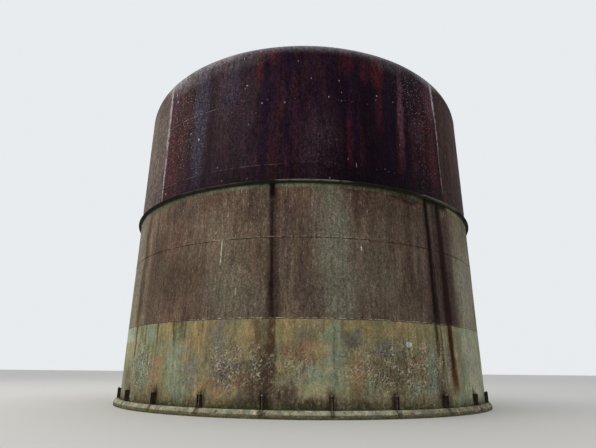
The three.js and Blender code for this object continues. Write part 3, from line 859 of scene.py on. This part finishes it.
    # The knuckle's pale top and the pale marks on it are partly bleached primer and partly a painted
    # highlight of the sky
    bleached = level_band(place, 15.15, OVERHEAD, 0.4)
    finish.lay("#8d8a8d", 0.6, bleached, 0.5)
    bleached_and_sheen_marks = [(-42.5, 15.0, 0.9, 0.4, 0.7), (-30, 15.2, 1.6, 0.35, 0.45), (42, 15.1, 0.9, 0.35, 0.4)]
    finish.lay("#8d8c89", 0.6, marked(soft, 0.6, bleached_and_sheen_marks))
    hazy_and_sheen_marks = [(-38, 14.75, 1.5, 0.5, 0.45), (-22, 14.8, 1.5, 0.45, 0.25), (26, 14.8, 1.0, 0.3, 0.15)]
    finish.lay("#7d7478", 0.6, marked(soft, 0.7, hazy_and_sheen_marks))
    for vector, size, shade, hue in (
        (streaky, 0.35, 0.14, 0.15), (streaky, 0.1, 0.22, 0.1), (upright, 0.3, 0.14, 0.1),
        (upright, 0.09, 0.42, 0.0), (point, 0.055, 0.55, 0.0),
    ):
        finish.mottle(vector, size, shade, hue)
    speckled_marks = [
        (-39, 12.6, 1.4, 3.0, 0.9), (-31, 12.0, 0.5, 2.6, 0.7), (-22, 13.0, 1.0, 1.8, 0.3),
        (5, 10.2, 0.8, 1.2, 0.25), (36, 13.4, 1.2, 1.6, 0.9), (38, 11.2, 1.0, 2.4, 0.4),
    ]
    speckled = marked(soft, 0.6, speckled_marks)
    flecks = specks(point, 0.085, 0.03, 0.4)
    finish.lay("#8f8587", 0.6, speckled, flecks, 0.75)
    finish.lay("#0f090e", 0.55, speckled, specks(upright, 0.14, 0.04, 0.4), 0.8)
    finish.lay("#7d7173", 0.6, specks(upright, 0.26, 0.03, 0.25), 0.7)
    thin = ragged(place, point, 0.1, 0.02)
    stripes = [
        (-46.5, 15.0, -46.2, 10.6, 0.1, 0.11, 0.95), (-46.2, 11.0, -46.0, 8.6, 0.1, 0.05, 0.8),
        (43.3, 15.0, 44.2, 13.0, 0.1, 0.07, 1.0), (44.3, 13.2, 44.6, 11.2, 0.05, 0.04, 0.7),
        (44.4, 11.5, 44.7, 9.0, 0.05, 0.05, 0.3),
    ]
    ridged = blotches(upright, 0.09, 0.34, 0.52)
    above_ring = level_band(place, stiffener_top, OVERHEAD, 0.03)
    finish.lay("#a0979a", 0.65, streaked(thin, stripes), above_ring, ridged)
    blob_marks = [
        (-44, 9.1, 0.05, 0.03, 0.8), (-43.5, 14.3, 0.05, 0.08, 0.6), (-42.7, 13.85, 0.05, 0.06, 0.7),
        (-34.4, 11.65, 0.035, 0.035, 0.8), (-31, 11.2, 0.035, 0.055, 1.0), (-17.3, 14.8, 0.025, 0.05, 0.7),
        (-16, 13.35, 0.045, 0.025, 0.9), (-11.4, 12.35, 0.03, 0.035, 0.7), (-5.1, 12.3, 0.04, 0.05, 0.35),
        (2, 13.5, 0.02, 0.028, 0.8), (6.8, 12.6, 0.024, 0.03, 0.9), (9.7, 13.45, 0.02, 0.03, 0.9),
        (13.9, 9.5, 0.015, 0.1, 0.5), (20.8, 13.0, 0.03, 0.025, 0.7),
    ]
    finish.lay("#a5a3a2", 0.65, marked(thin, 0.4, blob_marks))
    seam = seam_line(place, course_heads[2:4], 0.016)
    finish.lay("#120b0f", 0.6, seam, blotches(point, 0.4, 0.42, 0.5), 0.8)
    seam_marks = [
        (-38, 12.48, 1.9, 0.4, 0.8), (-40, 9.43, 1.5, 0.3, 0.3), (39, 12.48, 1.3, 0.3, 0.25),
        (-16, 9.43, 1.4, 0.3, 0.2),
    ]
    seam_wear = marked(place["wall"], 0.6, seam_marks)
    finish.lay("#9b9193", 0.65, seam, seam_wear, blotches(point, 0.12, 0.4, 0.6))
    finish.lay("#5d5355", 0.65, seam, blotches(point, 0.2, 0.6, 0.66))
    return finish.complete(plate_relief(upright), 0.005, 0.028)


def rolled(azimuth, radius, height):
    """Plate as it comes from the rolls and the welding, never quite round."""
    spot = round_axis(azimuth, radius, height)
    return radius + PLATE_WAVINESS * (noise.noise(spot * 0.8) - 0.2), height


tan_paint = worn_tan_paint()
brown_paint = rust_bled_brown_paint()
maroon_primer = sooty_maroon_primer()
course_finishes = [
    ("worn_tan_paint", [tan_paint]),
    ("brown_rusted_paint", [brown_paint]),
    ("brown_rusted_paint", [brown_paint, maroon_primer]),
    ("maroon_rusted_paint", [maroon_primer]),
    ("maroon_rusted_paint", [maroon_primer]),
]
for index, (_, foot, head, first) in enumerate(courses):
    inner = shell_radius - PLATE_THICKNESSES[index]
    behind_ring = (stiffener_foot + stiffener_top) / 2
    stops = [foot, behind_ring, head] if foot < behind_ring < head else [foot, head]
    outside = refined([(shell_radius, stop) for stop in stops], PLATE_ROW)
    outline = [(inner, foot), *outside, (inner, head)]
    slot, finishes = course_finishes[index]
    node = f"shell_course_{index + 1}_plate"
    for plate in four_lengths(node, "rolled", slot, outline, first, PLATE_STEP, finishes, rolled):
        if len(finishes) > 1:
            for face in plate.data.polygons:
                face.material_index = int(face.center.z > behind_ring)


# Stiffener ring: a rolled steel angle in four lengths, welded round the shell. Its level flange
# sheds water, so its edge is rusted thin. Its near-black colour is partly dirt and algae and partly
# painted shade of its underside, and a painted highlight runs along its outer edge.

FLANGE_THICKNESS = 0.016
LEG_THICKNESS = 0.012
ROLLED_CORNER = 0.003
SCOURED_EDGE = 0.06
ANGLE_STEP = 0.4
WELD_GAP = 0.0003
SCOURING_DEPTH = 0.006
FLANGE_WAVINESS = 0.003
ANGLE_SCALES_PER_METRE = 45.0


def rusted_angle():
    """Rolled angle steel, sooty and matt, nearly black with dirt and painted shade, with a painted highlight
    along its outer edge.
    """
    # Painted shade: the near-black coat stands partly for dirt, partly for the shade under the flange
    finish = Finish("dirty_rusted_angle_steel", "#1c160f", 0.85)
    place = tank_place(finish.tree)
    point = place["point"]
    finish.lay("#2c2117", 0.85, blotches(point, 0.2, 0.45, 0.6))
    finish.lay("#24281a", 0.9, blotches(point, 0.35, 0.5, 0.62))
    # Painted highlight: the flange's outer edge and top, lit by the sky, in three places
    edge = level_band(place, flange_foot, stiffener_top + 1, 0.002)
    marks = [
        (2.5, stiffener_top, 1.4, 0.4, 0.9), (42, stiffener_top, 1.5, 0.4, 0.7),
        (-25, stiffener_top, 1.5, 0.4, 0.2),
    ]
    painted_edge_highlight = marked(place["wall"], 0.2, marks)
    finish.lay("#a29a8d", 0.6, edge, painted_edge_highlight, blotches(point, 0.4, 0.3, 0.5))
    sized = {"Vector": point, "Scale": ANGLE_SCALES_PER_METRE, "Detail": 1.0}
    scales = add_node(finish.tree, "TexVoronoi", sized)
    return finish.complete(scales["Distance"], 0.003, 0.3)


def scoured(azimuth, radius, height):
    """The flange, whose outer edge rust has eaten back by a few millimetres here and there."""
    if radius < shell_radius + OFF_SHELL:
        return radius, height
    spot = round_axis(azimuth, radius, 0)
    eaten = SCOURING_DEPTH * max(0.0, noise.noise(spot * 3))
    return radius - eaten, height + FLANGE_WAVINESS * noise.noise(spot * 0.9)


flange_foot = stiffener_top - FLANGE_THICKNESS
angle_back = shell_radius + WELD_GAP
angle_outline = [
    (angle_back, stiffener_foot),
    (angle_back + LEG_THICKNESS - ROLLED_CORNER, stiffener_foot),
    (angle_back + LEG_THICKNESS, stiffener_foot + ROLLED_CORNER),
    (angle_back + LEG_THICKNESS, flange_foot - 2 * ROLLED_CORNER),
    (angle_back + LEG_THICKNESS + 2 * ROLLED_CORNER, flange_foot),
    (stiffener_reach - SCOURED_EDGE, flange_foot),
    (stiffener_reach - ROLLED_CORNER, flange_foot),
    (stiffener_reach, flange_foot + ROLLED_CORNER),
    (stiffener_reach, stiffener_top - ROLLED_CORNER),
    (stiffener_reach - ROLLED_CORNER, stiffener_top),
    (stiffener_reach - SCOURED_EDGE, stiffener_top),
    (angle_back, stiffener_top),
]
angle_steel = rusted_angle()
angle_around = (angle_outline, stiffener_first, ANGLE_STEP, [angle_steel], scoured)
four_lengths("stiffener_ring", "rolled", "rusted_plate", *angle_around)


# Knuckle: the shell's top plates pressed to a quarter round, which turn the wall into the roof.
# They are butt welded to the top course and over its joints, and carry the same old primer.

ROOF_THICKNESS = 0.008
ROOF_RISE_PER_RUN = 1 / 12

_, knuckle_foot, knuckle_head, knuckle_first = measured("knuckle_1")
roof_slope = math.atan(ROOF_RISE_PER_RUN)
knuckle_sweep = math.pi / 2 - roof_slope
knuckle_radius = (knuckle_head - knuckle_foot) / math.sin(knuckle_sweep)
knuckle_centre = shell_radius - knuckle_radius


def knuckle_arc(radius, steps):
    """Points along the knuckle's bend, from the top of the wall to the edge of the roof."""
    angles = [knuckle_sweep * step / steps for step in range(steps + 1)]
    return [(knuckle_centre + radius * math.cos(a), knuckle_foot + radius * math.sin(a)) for a in angles]


knuckle_outline = knuckle_arc(knuckle_radius, 14) + knuckle_arc(knuckle_radius - ROOF_THICKNESS, 6)[::-1]
knuckle_around = (knuckle_outline, knuckle_first, PLATE_STEP, [maroon_primer], rolled)
four_lengths("knuckle", "pressed", "maroon_rusted_paint", *knuckle_around)


# Roof: a shallow cone of thin wedge plates, each lapped over the next and welded, from the knuckle
# up to a round crown plate. It lies out of the camera's sight, open to rain and sun.

ROOF_PLATES = 24
ROOF_LAP = 0.007
ROOF_LAP_SHARE = 0.02
ROOF_LAP_FADE = 0.4
ROOF_ROW = 0.8
ROOF_INNER_RADIUS = 0.5
CROWN_RADIUS = 0.9
CROWN_THICKNESS = 0.01
CROWN_BURIED = 0.004
CROWN_DEPTH = 0.03
CROWN_STEP = 5


def rained_on_roof_primer():
    """Maroon primer on a nearly level roof: bleached at the rim, with silt and rust along the laps."""
    finish = Finish("rained_on_roof_primer", "#3a2826", 0.7)
    place = tank_place(finish.tree)
    point = place["point"]
    finish.lay("#4a3832", 0.75, blotches(point, 1.2, 0.4, 0.6))
    finish.lay("#573e32", 0.8, blotches(point, 0.5, 0.5, 0.66), 0.8)
    finish.lay("#675c50", 0.85, blotches(point, 1.5, 0.54, 0.7), 0.6)
    finish.lay("#241a1a", 0.7, blotches(point, 0.1, 0.6, 0.7))
    bleached = level_band(place, rim_height - 1.0, rim_height + 0.06, 0.16)
    finish.lay("#7a7476", 0.65, bleached, blotches(point, 0.6, 0.36, 0.6), 0.7)
    spacing = 2 * math.pi / ROOF_PLATES
    past_lap = {0: place["turn"], 1: ROOF_LAP_SHARE * spacing}
    turned = add_node(finish.tree, "Math", past_lap, operation="SUBTRACT")[0]
    limits = {0: turned, 1: spacing / 2, 2: -spacing / 2}
    off_lap = add_node(finish.tree, "Math", limits, operation="WRAP")[0]
    level = add_node(finish.tree, "Mapping", {"Vector": point, "Scale": (1, 1, 0)})[0]
    radius = add_node(finish.tree, "VectorMath", {0: level}, operation="LENGTH")["Value"]
    aside = add_node(finish.tree, "Math", {0: off_lap, 1: radius}, operation="MULTIPLY")[0]
    away = add_node(finish.tree, "Math", {0: aside}, operation="ABSOLUTE")[0]
    near_lap = {"Value": away, "From Min": 0.1, "From Max": 0.015}
    silt = add_node(finish.tree, "MapRange", near_lap, interpolation_type="SMOOTHSTEP")[0]
    finish.lay("#2a1d18", 0.85, silt, blotches(point, 0.3, 0.3, 0.5), 0.85)
    return finish.complete(plate_relief(point), 0.006, 0.2)


def lapped(azimuth, radius, height):
    """The roof's top face steps down by one lap at the edge of each plate."""
    share = (math.degrees(azimuth) * ROOF_PLATES / 360 - ROOF_LAP_SHARE) % 1.0
    is_top = height > roof_underside(radius) + ROOF_THICKNESS / 2
    return radius, height + is_top * ROOF_LAP * (share - 1) * min(1.0, (rim_radius - radius) / ROOF_LAP_FADE)


def roof_underside(radius):
    """The height of the roof plates' underside at a distance from the axis."""
    return rim_height - ROOF_THICKNESS / math.cos(roof_slope) + (rim_radius - radius) * ROOF_RISE_PER_RUN


rim_radius = knuckle_centre + knuckle_radius * math.cos(knuckle_sweep) - WELD_GAP
rim_height = knuckle_head
apex_height = rim_height + rim_radius * ROOF_RISE_PER_RUN
roof_inner_height = apex_height - ROOF_INNER_RADIUS * ROOF_RISE_PER_RUN
roof_top = refined([(rim_radius, rim_height), (ROOF_INNER_RADIUS, roof_inner_height)], ROOF_ROW)
roof_foot = [(radius, roof_underside(radius)) for radius in (ROOF_INNER_RADIUS, rim_radius)]
roof_primer = rained_on_roof_primer()
roof = swept("roof_plates_lapped", roof_foot + roof_top, 0, 360, PLATE_STEP, [roof_primer], lapped)
fitted(roof, "maroon_rusted_paint", "roof_cone")
crown_rim = apex_height - CROWN_RADIUS * ROOF_RISE_PER_RUN
crown_outline = [
    (0.0, apex_height - CROWN_DEPTH),
    (CROWN_RADIUS, crown_rim - CROWN_BURIED),
    (CROWN_RADIUS, crown_rim + CROWN_THICKNESS),
    (0.0, apex_height + CROWN_THICKNESS),
]
crown = swept("roof_crown_plate", crown_outline, 0, 360, CROWN_STEP, [roof_primer])
pole_closed(crown)
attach(crown, "root")


# Butt welds between the plates: hand-laid beads, a little proud of the wall, round the tank at each
# course's head and up each plate's end, under the wall's own paint. Geometry Nodes lay the beads.

BEAD_RADIUS = 0.009
BEAD_BURIED = 0.005
SEAM_REACH = 0.01
RIPPLE_SPACING = 0.04
RIPPLE_HEIGHT = 0.006
RIPPLE_CLOUDS_PER_METRE = 14.0


def group_inputs(tree, *sockets):
    """Gives a new tree its geometry sockets and its own named inputs, and returns its input node."""
    tree.interface.new_socket("Geometry", in_out="INPUT", socket_type="NodeSocketGeometry")
    tree.interface.new_socket("Geometry", in_out="OUTPUT", socket_type="NodeSocketGeometry")
    for name, kind in sockets:
        tree.interface.new_socket(name, in_out="INPUT", socket_type=f"NodeSocket{kind}")
    return tree.nodes.new("NodeGroupInput").outputs


def group_output(tree, geometry, finish):
    """Ends a tree in real geometry that wears one finish."""
    real = add_node(tree, "GeometryNodeRealizeInstances", {0: geometry})[0]
    worn = add_node(tree, "GeometryNodeSetMaterial", {"Geometry": real, "Material": finish})[0]
    add_node(tree, "NodeGroupOutput", {0: worn})


def grown(made, tree, **values):
    """Runs a tree on an object with the given inputs, and keeps the result as the object's plain mesh."""
    modifier = made.modifiers.new(tree.name, "NODES")
    modifier.node_group = tree
    named = {name.replace("_", " ").title(): value for name, value in values.items()}
    for socket in tree.interface.items_tree:
        if socket.in_out == "INPUT" and socket.name in named:
            modifier[socket.identifier] = named[socket.name]
    evaluated = made.evaluated_get(bpy.context.evaluated_depsgraph_get())
    mesh = bpy.data.meshes.new_from_object(evaluated)
    made.modifiers.clear()
    made.data = mesh
    mesh.shade_smooth()
    mesh.set_sharp_from_angle(angle=math.radians(35))
    return made


def bead_tree():
    """Lays a round bead along the edges that it is given, with the ripples of a weld laid by hand."""
    tree = bpy.data.node_groups.new("weld_bead", "GeometryNodeTree")
    given = group_inputs(
        tree,
        ("Bead Radius", "Float"), ("Ripple Spacing", "Float"), ("Ripple Height", "Float"),
        ("Finish", "Material"),
    )
    path = add_node(tree, "GeometryNodeMeshToCurve", {0: given["Geometry"]})[0]
    # Real ripples lie about 4 mm apart, too fine to show, so they are drawn 40 mm apart.
    stepped = add_node(
        tree, "GeometryNodeResampleCurve", {"Curve": path, "Length": given["Ripple Spacing"]}, mode="LENGTH"
    )[0]
    profile = add_node(
        tree, "GeometryNodeCurvePrimitiveCircle", {"Resolution": 6, "Radius": given["Bead Radius"]}
    )[0]
    bead = add_node(
        tree, "GeometryNodeCurveToMesh", {"Curve": stepped, "Profile Curve": profile, "Fill Caps": True}
    )[0]
    cloud = add_node(tree, "TexNoise", {"Scale": RIPPLE_CLOUDS_PER_METRE, "Detail": 2.0})["Fac"]
    uneven = add_node(tree, "Math", {0: cloud, 1: 0.5}, operation="SUBTRACT")[0]
    swell = add_node(tree, "Math", {0: uneven, 1: given["Ripple Height"]}, operation="MULTIPLY")[0]
    outwards = add_node(tree, "GeometryNodeInputNormal")[0]
    offset = add_node(tree, "VectorMath", {0: outwards, "Scale": swell}, operation="SCALE")[0]
    rippled = add_node(tree, "GeometryNodeSetPosition", {"Geometry": bead, "Offset": offset})[0]
    group_output(tree, rippled, given["Finish"])
    return tree


def weld_paths(foot, head):
    """The middles of the welds between two heights: a ring at a course's head, a line at a plate's end."""
    depth = shell_radius - BEAD_BURIED
    points = []
    edges = []
    for _, course_foot, course_head, first_joint in courses:
        if foot < course_head <= head:
            first = len(points)
            ring = [round_axis(math.radians(azimuth), depth, course_head) for azimuth in range(360)]
            points += ring
            edges += [(first + at, first + (at + 1) % len(ring)) for at in range(len(ring))]
        low = max(foot, course_foot)
        high = min(head, course_head)
        for quarter in range(4 * (low < high)):
            azimuth = math.radians(first_joint + 90 * quarter)
            edges.append((len(points), len(points) + 1))
            points += [round_axis(azimuth, depth, low), round_axis(azimuth, depth, high)]
    return points, edges


bead = bead_tree()
for name, foot, head, paint in (
    ("tan_course_welds", UNDERGROUND, course_heads[0] - SEAM_REACH, tan_paint),
    ("brown_course_welds", course_heads[0] - SEAM_REACH, stiffener_top, brown_paint),
    ("maroon_course_welds", stiffener_top, OVERHEAD, maroon_primer),
):
    welds = new_object(name, [], [], [])
    weld_points, weld_edges = weld_paths(foot, head)
    welds.data.from_pydata(weld_points, weld_edges, [])
    grown(
        welds,
        bead,
        bead_radius=BEAD_RADIUS,
        ripple_spacing=RIPPLE_SPACING,
        ripple_height=RIPPLE_HEIGHT,
        finish=paint,
    )
    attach(welds, "root")


# Anchor chairs: 24 welded brackets round the foot, each two upright gussets under a top plate that
# is drilled for the anchor bolt. They are of thick plate, sawn or flame-cut, and rusted through.

CHAIR_HEIGHT = 0.43
CHAIR_GUSSET_GAP = 0.088
GUSSET_THICKNESS = 0.02
GUSSET_DEPTH = 0.145
GUSSET_FOOT_CORNER = 0.025
FILLET_HALF_WIDTH = 0.008
FILLET_PROUD = 0.002
FILLET_END_GAP = 0.01
GUSSET_BURIED = 0.006
CHAIR_EDGE_ROUNDING = 0.003
HOLE_SIDES = 20
TOP_PLATE = (0.165, 0.155, 0.028)
BOLT_HOLE_RADIUS = 0.022
BOLT_DISTANCE = 0.09


def prism(sheet, outline, thickness, matrix):
    """Adds a plate of the given outline and thickness to a mesh in the making, and returns its points."""
    half = thickness / 2
    lower = [sheet.verts.new(matrix @ Vector((x, y, -half))) for x, y in outline]
    upper = [sheet.verts.new(matrix @ Vector((x, y, half))) for x, y in outline]
    sheet.faces.new(lower[::-1])
    sheet.faces.new(upper)
    for at in range(len(outline)):
        after = (at + 1) % len(outline)
        sheet.faces.new((lower[at], lower[after], upper[after], upper[at]))
    return lower + upper


def drilled_plate(sheet, foot):
    """Adds the chair's top plate, from the given height up: a rectangle with a round hole through it."""
    width, depth, thickness = TOP_PLATE
    sides = [width / 2, BOLT_DISTANCE, width / 2, depth - BOLT_DISTANCE]
    corners = [math.atan2(y, x) % math.tau for x in (sides[0], -sides[2]) for y in (sides[1], -sides[3])]
    angles = sorted([math.tau * at / HOLE_SIDES for at in range(HOLE_SIDES)] + corners)
    rings = []
    for height in (foot, foot + thickness):
        for inside in (True, False):
            ring = []
            for angle in angles:
                across = (math.cos(angle), math.sin(angle))
                ways = (across[0], across[1], -across[0], -across[1])
                edge = min(side / way for side, way in zip(sides, ways) if way > 1e-9)
                reach = BOLT_HOLE_RADIUS if inside else edge
                point = (reach * across[0], reach * across[1] - BOLT_DISTANCE, height)
                ring.append(sheet.verts.new(point))
            rings.append(ring)
    low_hole, low_edge, high_hole, high_edge = rings
    for at in range(len(angles)):
        after = (at + 1) % len(angles)
        sheet.faces.new((low_edge[after], low_edge[at], low_hole[at], low_hole[after]))
        sheet.faces.new((high_edge[at], high_edge[after], high_hole[after], high_hole[at]))
        sheet.faces.new((low_edge[at], low_edge[after], high_edge[after], high_edge[at]))
        sheet.faces.new((low_hole[after], low_hole[at], high_hole[at], high_hole[after]))


def chair_shape():
    """One chair, with its back on the shell at y = 0 and its foot at z = 0."""
    sheet = bmesh.new()
    plate_foot = CHAIR_HEIGHT - TOP_PLATE[2]
    gusset = [
        (GUSSET_BURIED, plate_foot),
        (-GUSSET_DEPTH, plate_foot),
        (-GUSSET_DEPTH, GUSSET_FOOT_CORNER),
        (GUSSET_FOOT_CORNER - GUSSET_DEPTH, 0.0),
        (GUSSET_BURIED, 0.0),
    ]
    aside = (CHAIR_GUSSET_GAP + GUSSET_THICKNESS) / 2
    for side in (-aside, aside):
        upright = Matrix(((0, 0, 1, side), (1, 0, 0, 0), (0, 1, 0, 0), (0, 0, 0, 1)))
        prism(sheet, gusset, GUSSET_THICKNESS, upright)
    drilled_plate(sheet, plate_foot)
    bmesh.ops.recalc_face_normals(sheet, faces=sheet.faces)
    sharp = [edge for edge in sheet.edges if edge.calc_face_angle(0) > math.radians(40)]
    rounding = {"offset": CHAIR_EDGE_ROUNDING, "segments": 1, "affect": "EDGES", "clamp_overlap": True}
    bmesh.ops.bevel(sheet, geom=sharp, **rounding)
    reach = FILLET_HALF_WIDTH * math.sqrt(2)
    bead = [(0, -reach), (reach, 0), (0, reach), (-reach, 0)]
    for side in (-aside, aside):
        for face in (-1, 1):
            across = side + face * (GUSSET_THICKNESS / 2 + FILLET_PROUD)
            fillet = Matrix.Translation((across, 0.0, plate_foot / 2))
            prism(sheet, bead, plate_foot - FILLET_END_GAP, fillet)
    mesh = bpy.data.meshes.new("chair")
    sheet.to_mesh(mesh)
    sheet.free()
    return mesh


def ring_of_copies_tree():
    """Sets copies of a shape at even spacing round the tank, each facing outwards."""
    tree = bpy.data.node_groups.new("ring_of_copies", "GeometryNodeTree")
    given = group_inputs(
        tree,
        ("Count", "Int"), ("Radius", "Float"), ("Height", "Float"), ("First Azimuth", "Float"),
        ("Spare Turn", "Float"), ("Seed", "Int"), ("Finish", "Material"),
    )
    index = add_node(tree, "GeometryNodeInputIndex")[0]
    spacing = add_node(tree, "Math", {0: math.tau, 1: given["Count"]}, operation="DIVIDE")[0]
    turn = add_node(
        tree, "Math", {0: index, 1: spacing, 2: given["First Azimuth"]}, operation="MULTIPLY_ADD"
    )[0]
    sine = add_node(tree, "Math", {0: turn}, operation="SINE")[0]
    cosine = add_node(tree, "Math", {0: turn}, operation="COSINE")[0]
    inwards = add_node(tree, "Math", {0: given["Radius"], 1: -1.0}, operation="MULTIPLY")[0]
    x = add_node(tree, "Math", {0: sine, 1: given["Radius"]}, operation="MULTIPLY")[0]
    y = add_node(tree, "Math", {0: cosine, 1: inwards}, operation="MULTIPLY")[0]
    spot = add_node(tree, "CombineXYZ", {0: x, 1: y, 2: given["Height"]})[0]
    points = add_node(tree, "GeometryNodePoints", {"Count": given["Count"], "Position": spot})[0]
    chance = add_node(tree, "FunctionNodeRandomValue", {"Seed": given["Seed"]}, data_type="FLOAT")
    spared = {0: chance[1], 1: given["Spare Turn"], 2: turn}
    spare = add_node(tree, "Math", spared, operation="MULTIPLY_ADD")[0]
    facing = add_node(tree, "CombineXYZ", {2: spare})[0]
    facing = add_node(tree, "FunctionNodeEulerToRotation", {0: facing})[0]
    placed = {"Points": points, "Instance": given["Geometry"], "Rotation": facing}
    copies = add_node(tree, "GeometryNodeInstanceOnPoints", placed)[0]
    group_output(tree, copies, given["Finish"])
    return tree


copies_tree = ring_of_copies_tree()
chairs = grown(
    put_in_scene("anchor_chairs", chair_shape()),
    copies_tree,
    count=CHAIR_COUNT,
    radius=shell_radius,
    height=shell_foot,
    first_azimuth=math.radians(CHAIR_FIRST_AZIMUTH),
    seed=3,
    finish=rusted_steel,
)
fitted(chairs, "rusted_plate", *[f"anchor_chair_{number:02d}" for number in range(1, CHAIR_COUNT + 1)])


# Anchor bolts: 36 mm threaded bars cast into the ring wall, one up through each chair, with a plate
# washer and a hexagon nut on the chair's top plate. They still wear some of the shell's old paint.

BOLT_RADIUS = 0.018
NUT_RADIUS = 0.032
NUT_HEIGHT = 0.029
WASHER_RADIUS = 0.034
WASHER_HEIGHT = 0.006
BOLT_SPARE_LENGTH = 0.014
BOLT_BURIED = 0.02
CHAMFER = 0.004
THREAD_WAVE_SCALE = 40.0


def rusted_bolt_steel():
    """Threaded steel bar that was painted over with the shell: pale paint, brown rust at its breaks."""
    finish = Finish("painted_over_bolt_steel", "#8d8568", 0.8)
    point = tank_place(finish.tree)["point"]
    finish.lay("#75694f", 0.85, blotches(point, 0.08, 0.45, 0.6))
    finish.lay("#3a2818", 0.85, blotches(point, 0.05, 0.52, 0.58))
    # The real thread's pitch is 4 mm, too fine to show, so it is drawn at 8 mm.
    sized = {"Vector": point, "Scale": THREAD_WAVE_SCALE}
    thread = add_node(finish.tree, "TexWave", sized, bands_direction="Z")
    return finish.complete(thread["Fac"], 0.002, 0.2)


def bolt_shape():
    """One bolt with its washer and nut, upright at the origin, its foot in the concrete at z = 0."""
    seat = shell_foot + CHAIR_HEIGHT - ring_top
    end = seat + WASHER_HEIGHT + NUT_HEIGHT + BOLT_SPARE_LENGTH
    low = seat + WASHER_HEIGHT
    high = low + NUT_HEIGHT
    bar_top = [(BOLT_RADIUS, end - CHAMFER), (BOLT_RADIUS - CHAMFER, end), (0, end)]
    bar = [(0, -BOLT_BURIED), (BOLT_RADIUS, -BOLT_BURIED), *bar_top]
    washer = [(0, seat), (WASHER_RADIUS, seat), (WASHER_RADIUS, low), (0, low)]
    nut_top = [(NUT_RADIUS, high - CHAMFER), (NUT_RADIUS - CHAMFER, high), (0, high)]
    nut = [(0, low), (NUT_RADIUS, low), *nut_top]
    parts = []
    for outline, sides in ((bar, 12), (washer, 16), (nut, 6)):
        part = swept("bolt_part", outline, 0, 360, 360 / sides, [])
        pole_closed(part)
        parts.append(part)
    sheet = bmesh.new()
    for part in parts:
        sheet.from_mesh(part.data)
        bpy.data.objects.remove(part)
    mesh = bpy.data.meshes.new("bolt")
    sheet.to_mesh(mesh)
    sheet.free()
    return mesh


bolts = grown(
    put_in_scene("anchor_bolts", bolt_shape()),
    copies_tree,
    count=CHAIR_COUNT,
    radius=shell_radius + BOLT_DISTANCE,
    height=ring_top,
    first_azimuth=math.radians(CHAIR_FIRST_AZIMUTH),
    spare_turn=1.0,
    seed=11,
    finish=rusted_bolt_steel(),
)
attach(bolts, "root")


# The studio: a pale matt floor, an even pale surround and two large soft lights, with the camera
# where the photographer stood, 16 m from the wall at eye level, tilted up.

CAMERA_DISTANCE = 25.086
CAMERA_HEIGHT = 1.535
CAMERA_PITCH = math.radians(18.356)
CAMERA_YAW = math.radians(-0.681)
CAMERA_ROLL = math.radians(0.583)
CAMERA_LENS = 26.73
FLOOR_REACH = 400
FLOOR_CLOUDS_PER_METRE = 0.3

floor_finish = Finish("matt_studio_floor", "#c6c4bf", 0.9)
floor_spot = add_node(floor_finish.tree, "TexCoord")["Object"]
floor_cloud = add_node(floor_finish.tree, "TexNoise", {"Vector": floor_spot, "Scale": FLOOR_CLOUDS_PER_METRE})
floor_corners = [(x * FLOOR_REACH, y * FLOOR_REACH, 0) for x, y in ((-1, -1), (1, -1), (1, 1), (-1, 1))]
floor_material = floor_finish.complete(floor_cloud["Fac"], 0.0, 0.2)
floor = new_object("floor", floor_corners, [(0, 1, 2, 3)], [floor_material])

world = bpy.data.worlds.new("pale_surround")
bpy.context.scene.world = world
world.use_nodes = True
world.node_tree.nodes.clear()
backdrop = add_node(world.node_tree, "Background", {"Color": to_linear("#eef1f4"), "Strength": 0.95})
add_node(world.node_tree, "OutputWorld", {"Surface": backdrop[0]})


def soft_light(name, place, target, size, power, hex_colour):
    """A large square light at one place, turned towards a target."""
    light = bpy.data.lights.new(name, "AREA")
    light.size = size
    light.energy = power
    light.color = to_linear(hex_colour)[:3]
    made = put_in_scene(name, light)
    made.location = place
    made.rotation_euler = (Vector(target) - Vector(place)).to_track_quat("-Z", "Y").to_euler()


soft_light("sky_from_the_left", (-42, -22, 30), (0, 0, 8), 34, 11000, "#fff8ee")
soft_light("sky_above", (0, 6, 46), (0, 0, 14), 30, 5000, "#f2f6ff")

camera_data = bpy.data.cameras.new("photographer")
camera_data.sensor_width = 36
camera_data.sensor_fit = "HORIZONTAL"
camera_data.lens = CAMERA_LENS
camera_data.clip_end = 1000
camera = put_in_scene("photographer", camera_data)
bpy.context.scene.camera = camera
forward = Vector(
    (
        math.sin(CAMERA_YAW) * math.cos(CAMERA_PITCH),
        math.cos(CAMERA_YAW) * math.cos(CAMERA_PITCH),
        math.sin(CAMERA_PITCH),
    )
)
level = Vector((math.cos(CAMERA_YAW), -math.sin(CAMERA_YAW), 0))
upright = level.cross(forward)
rightwards = math.cos(CAMERA_ROLL) * level + math.sin(CAMERA_ROLL) * upright
upwards = math.cos(CAMERA_ROLL) * upright - math.sin(CAMERA_ROLL) * level
camera.matrix_world = Matrix.Translation((0, -CAMERA_DISTANCE, CAMERA_HEIGHT)) @ Matrix(
    (rightwards, upwards, -forward)
).transposed().to_4x4()
bpy.context.scene.view_settings.view_transform = "Standard"
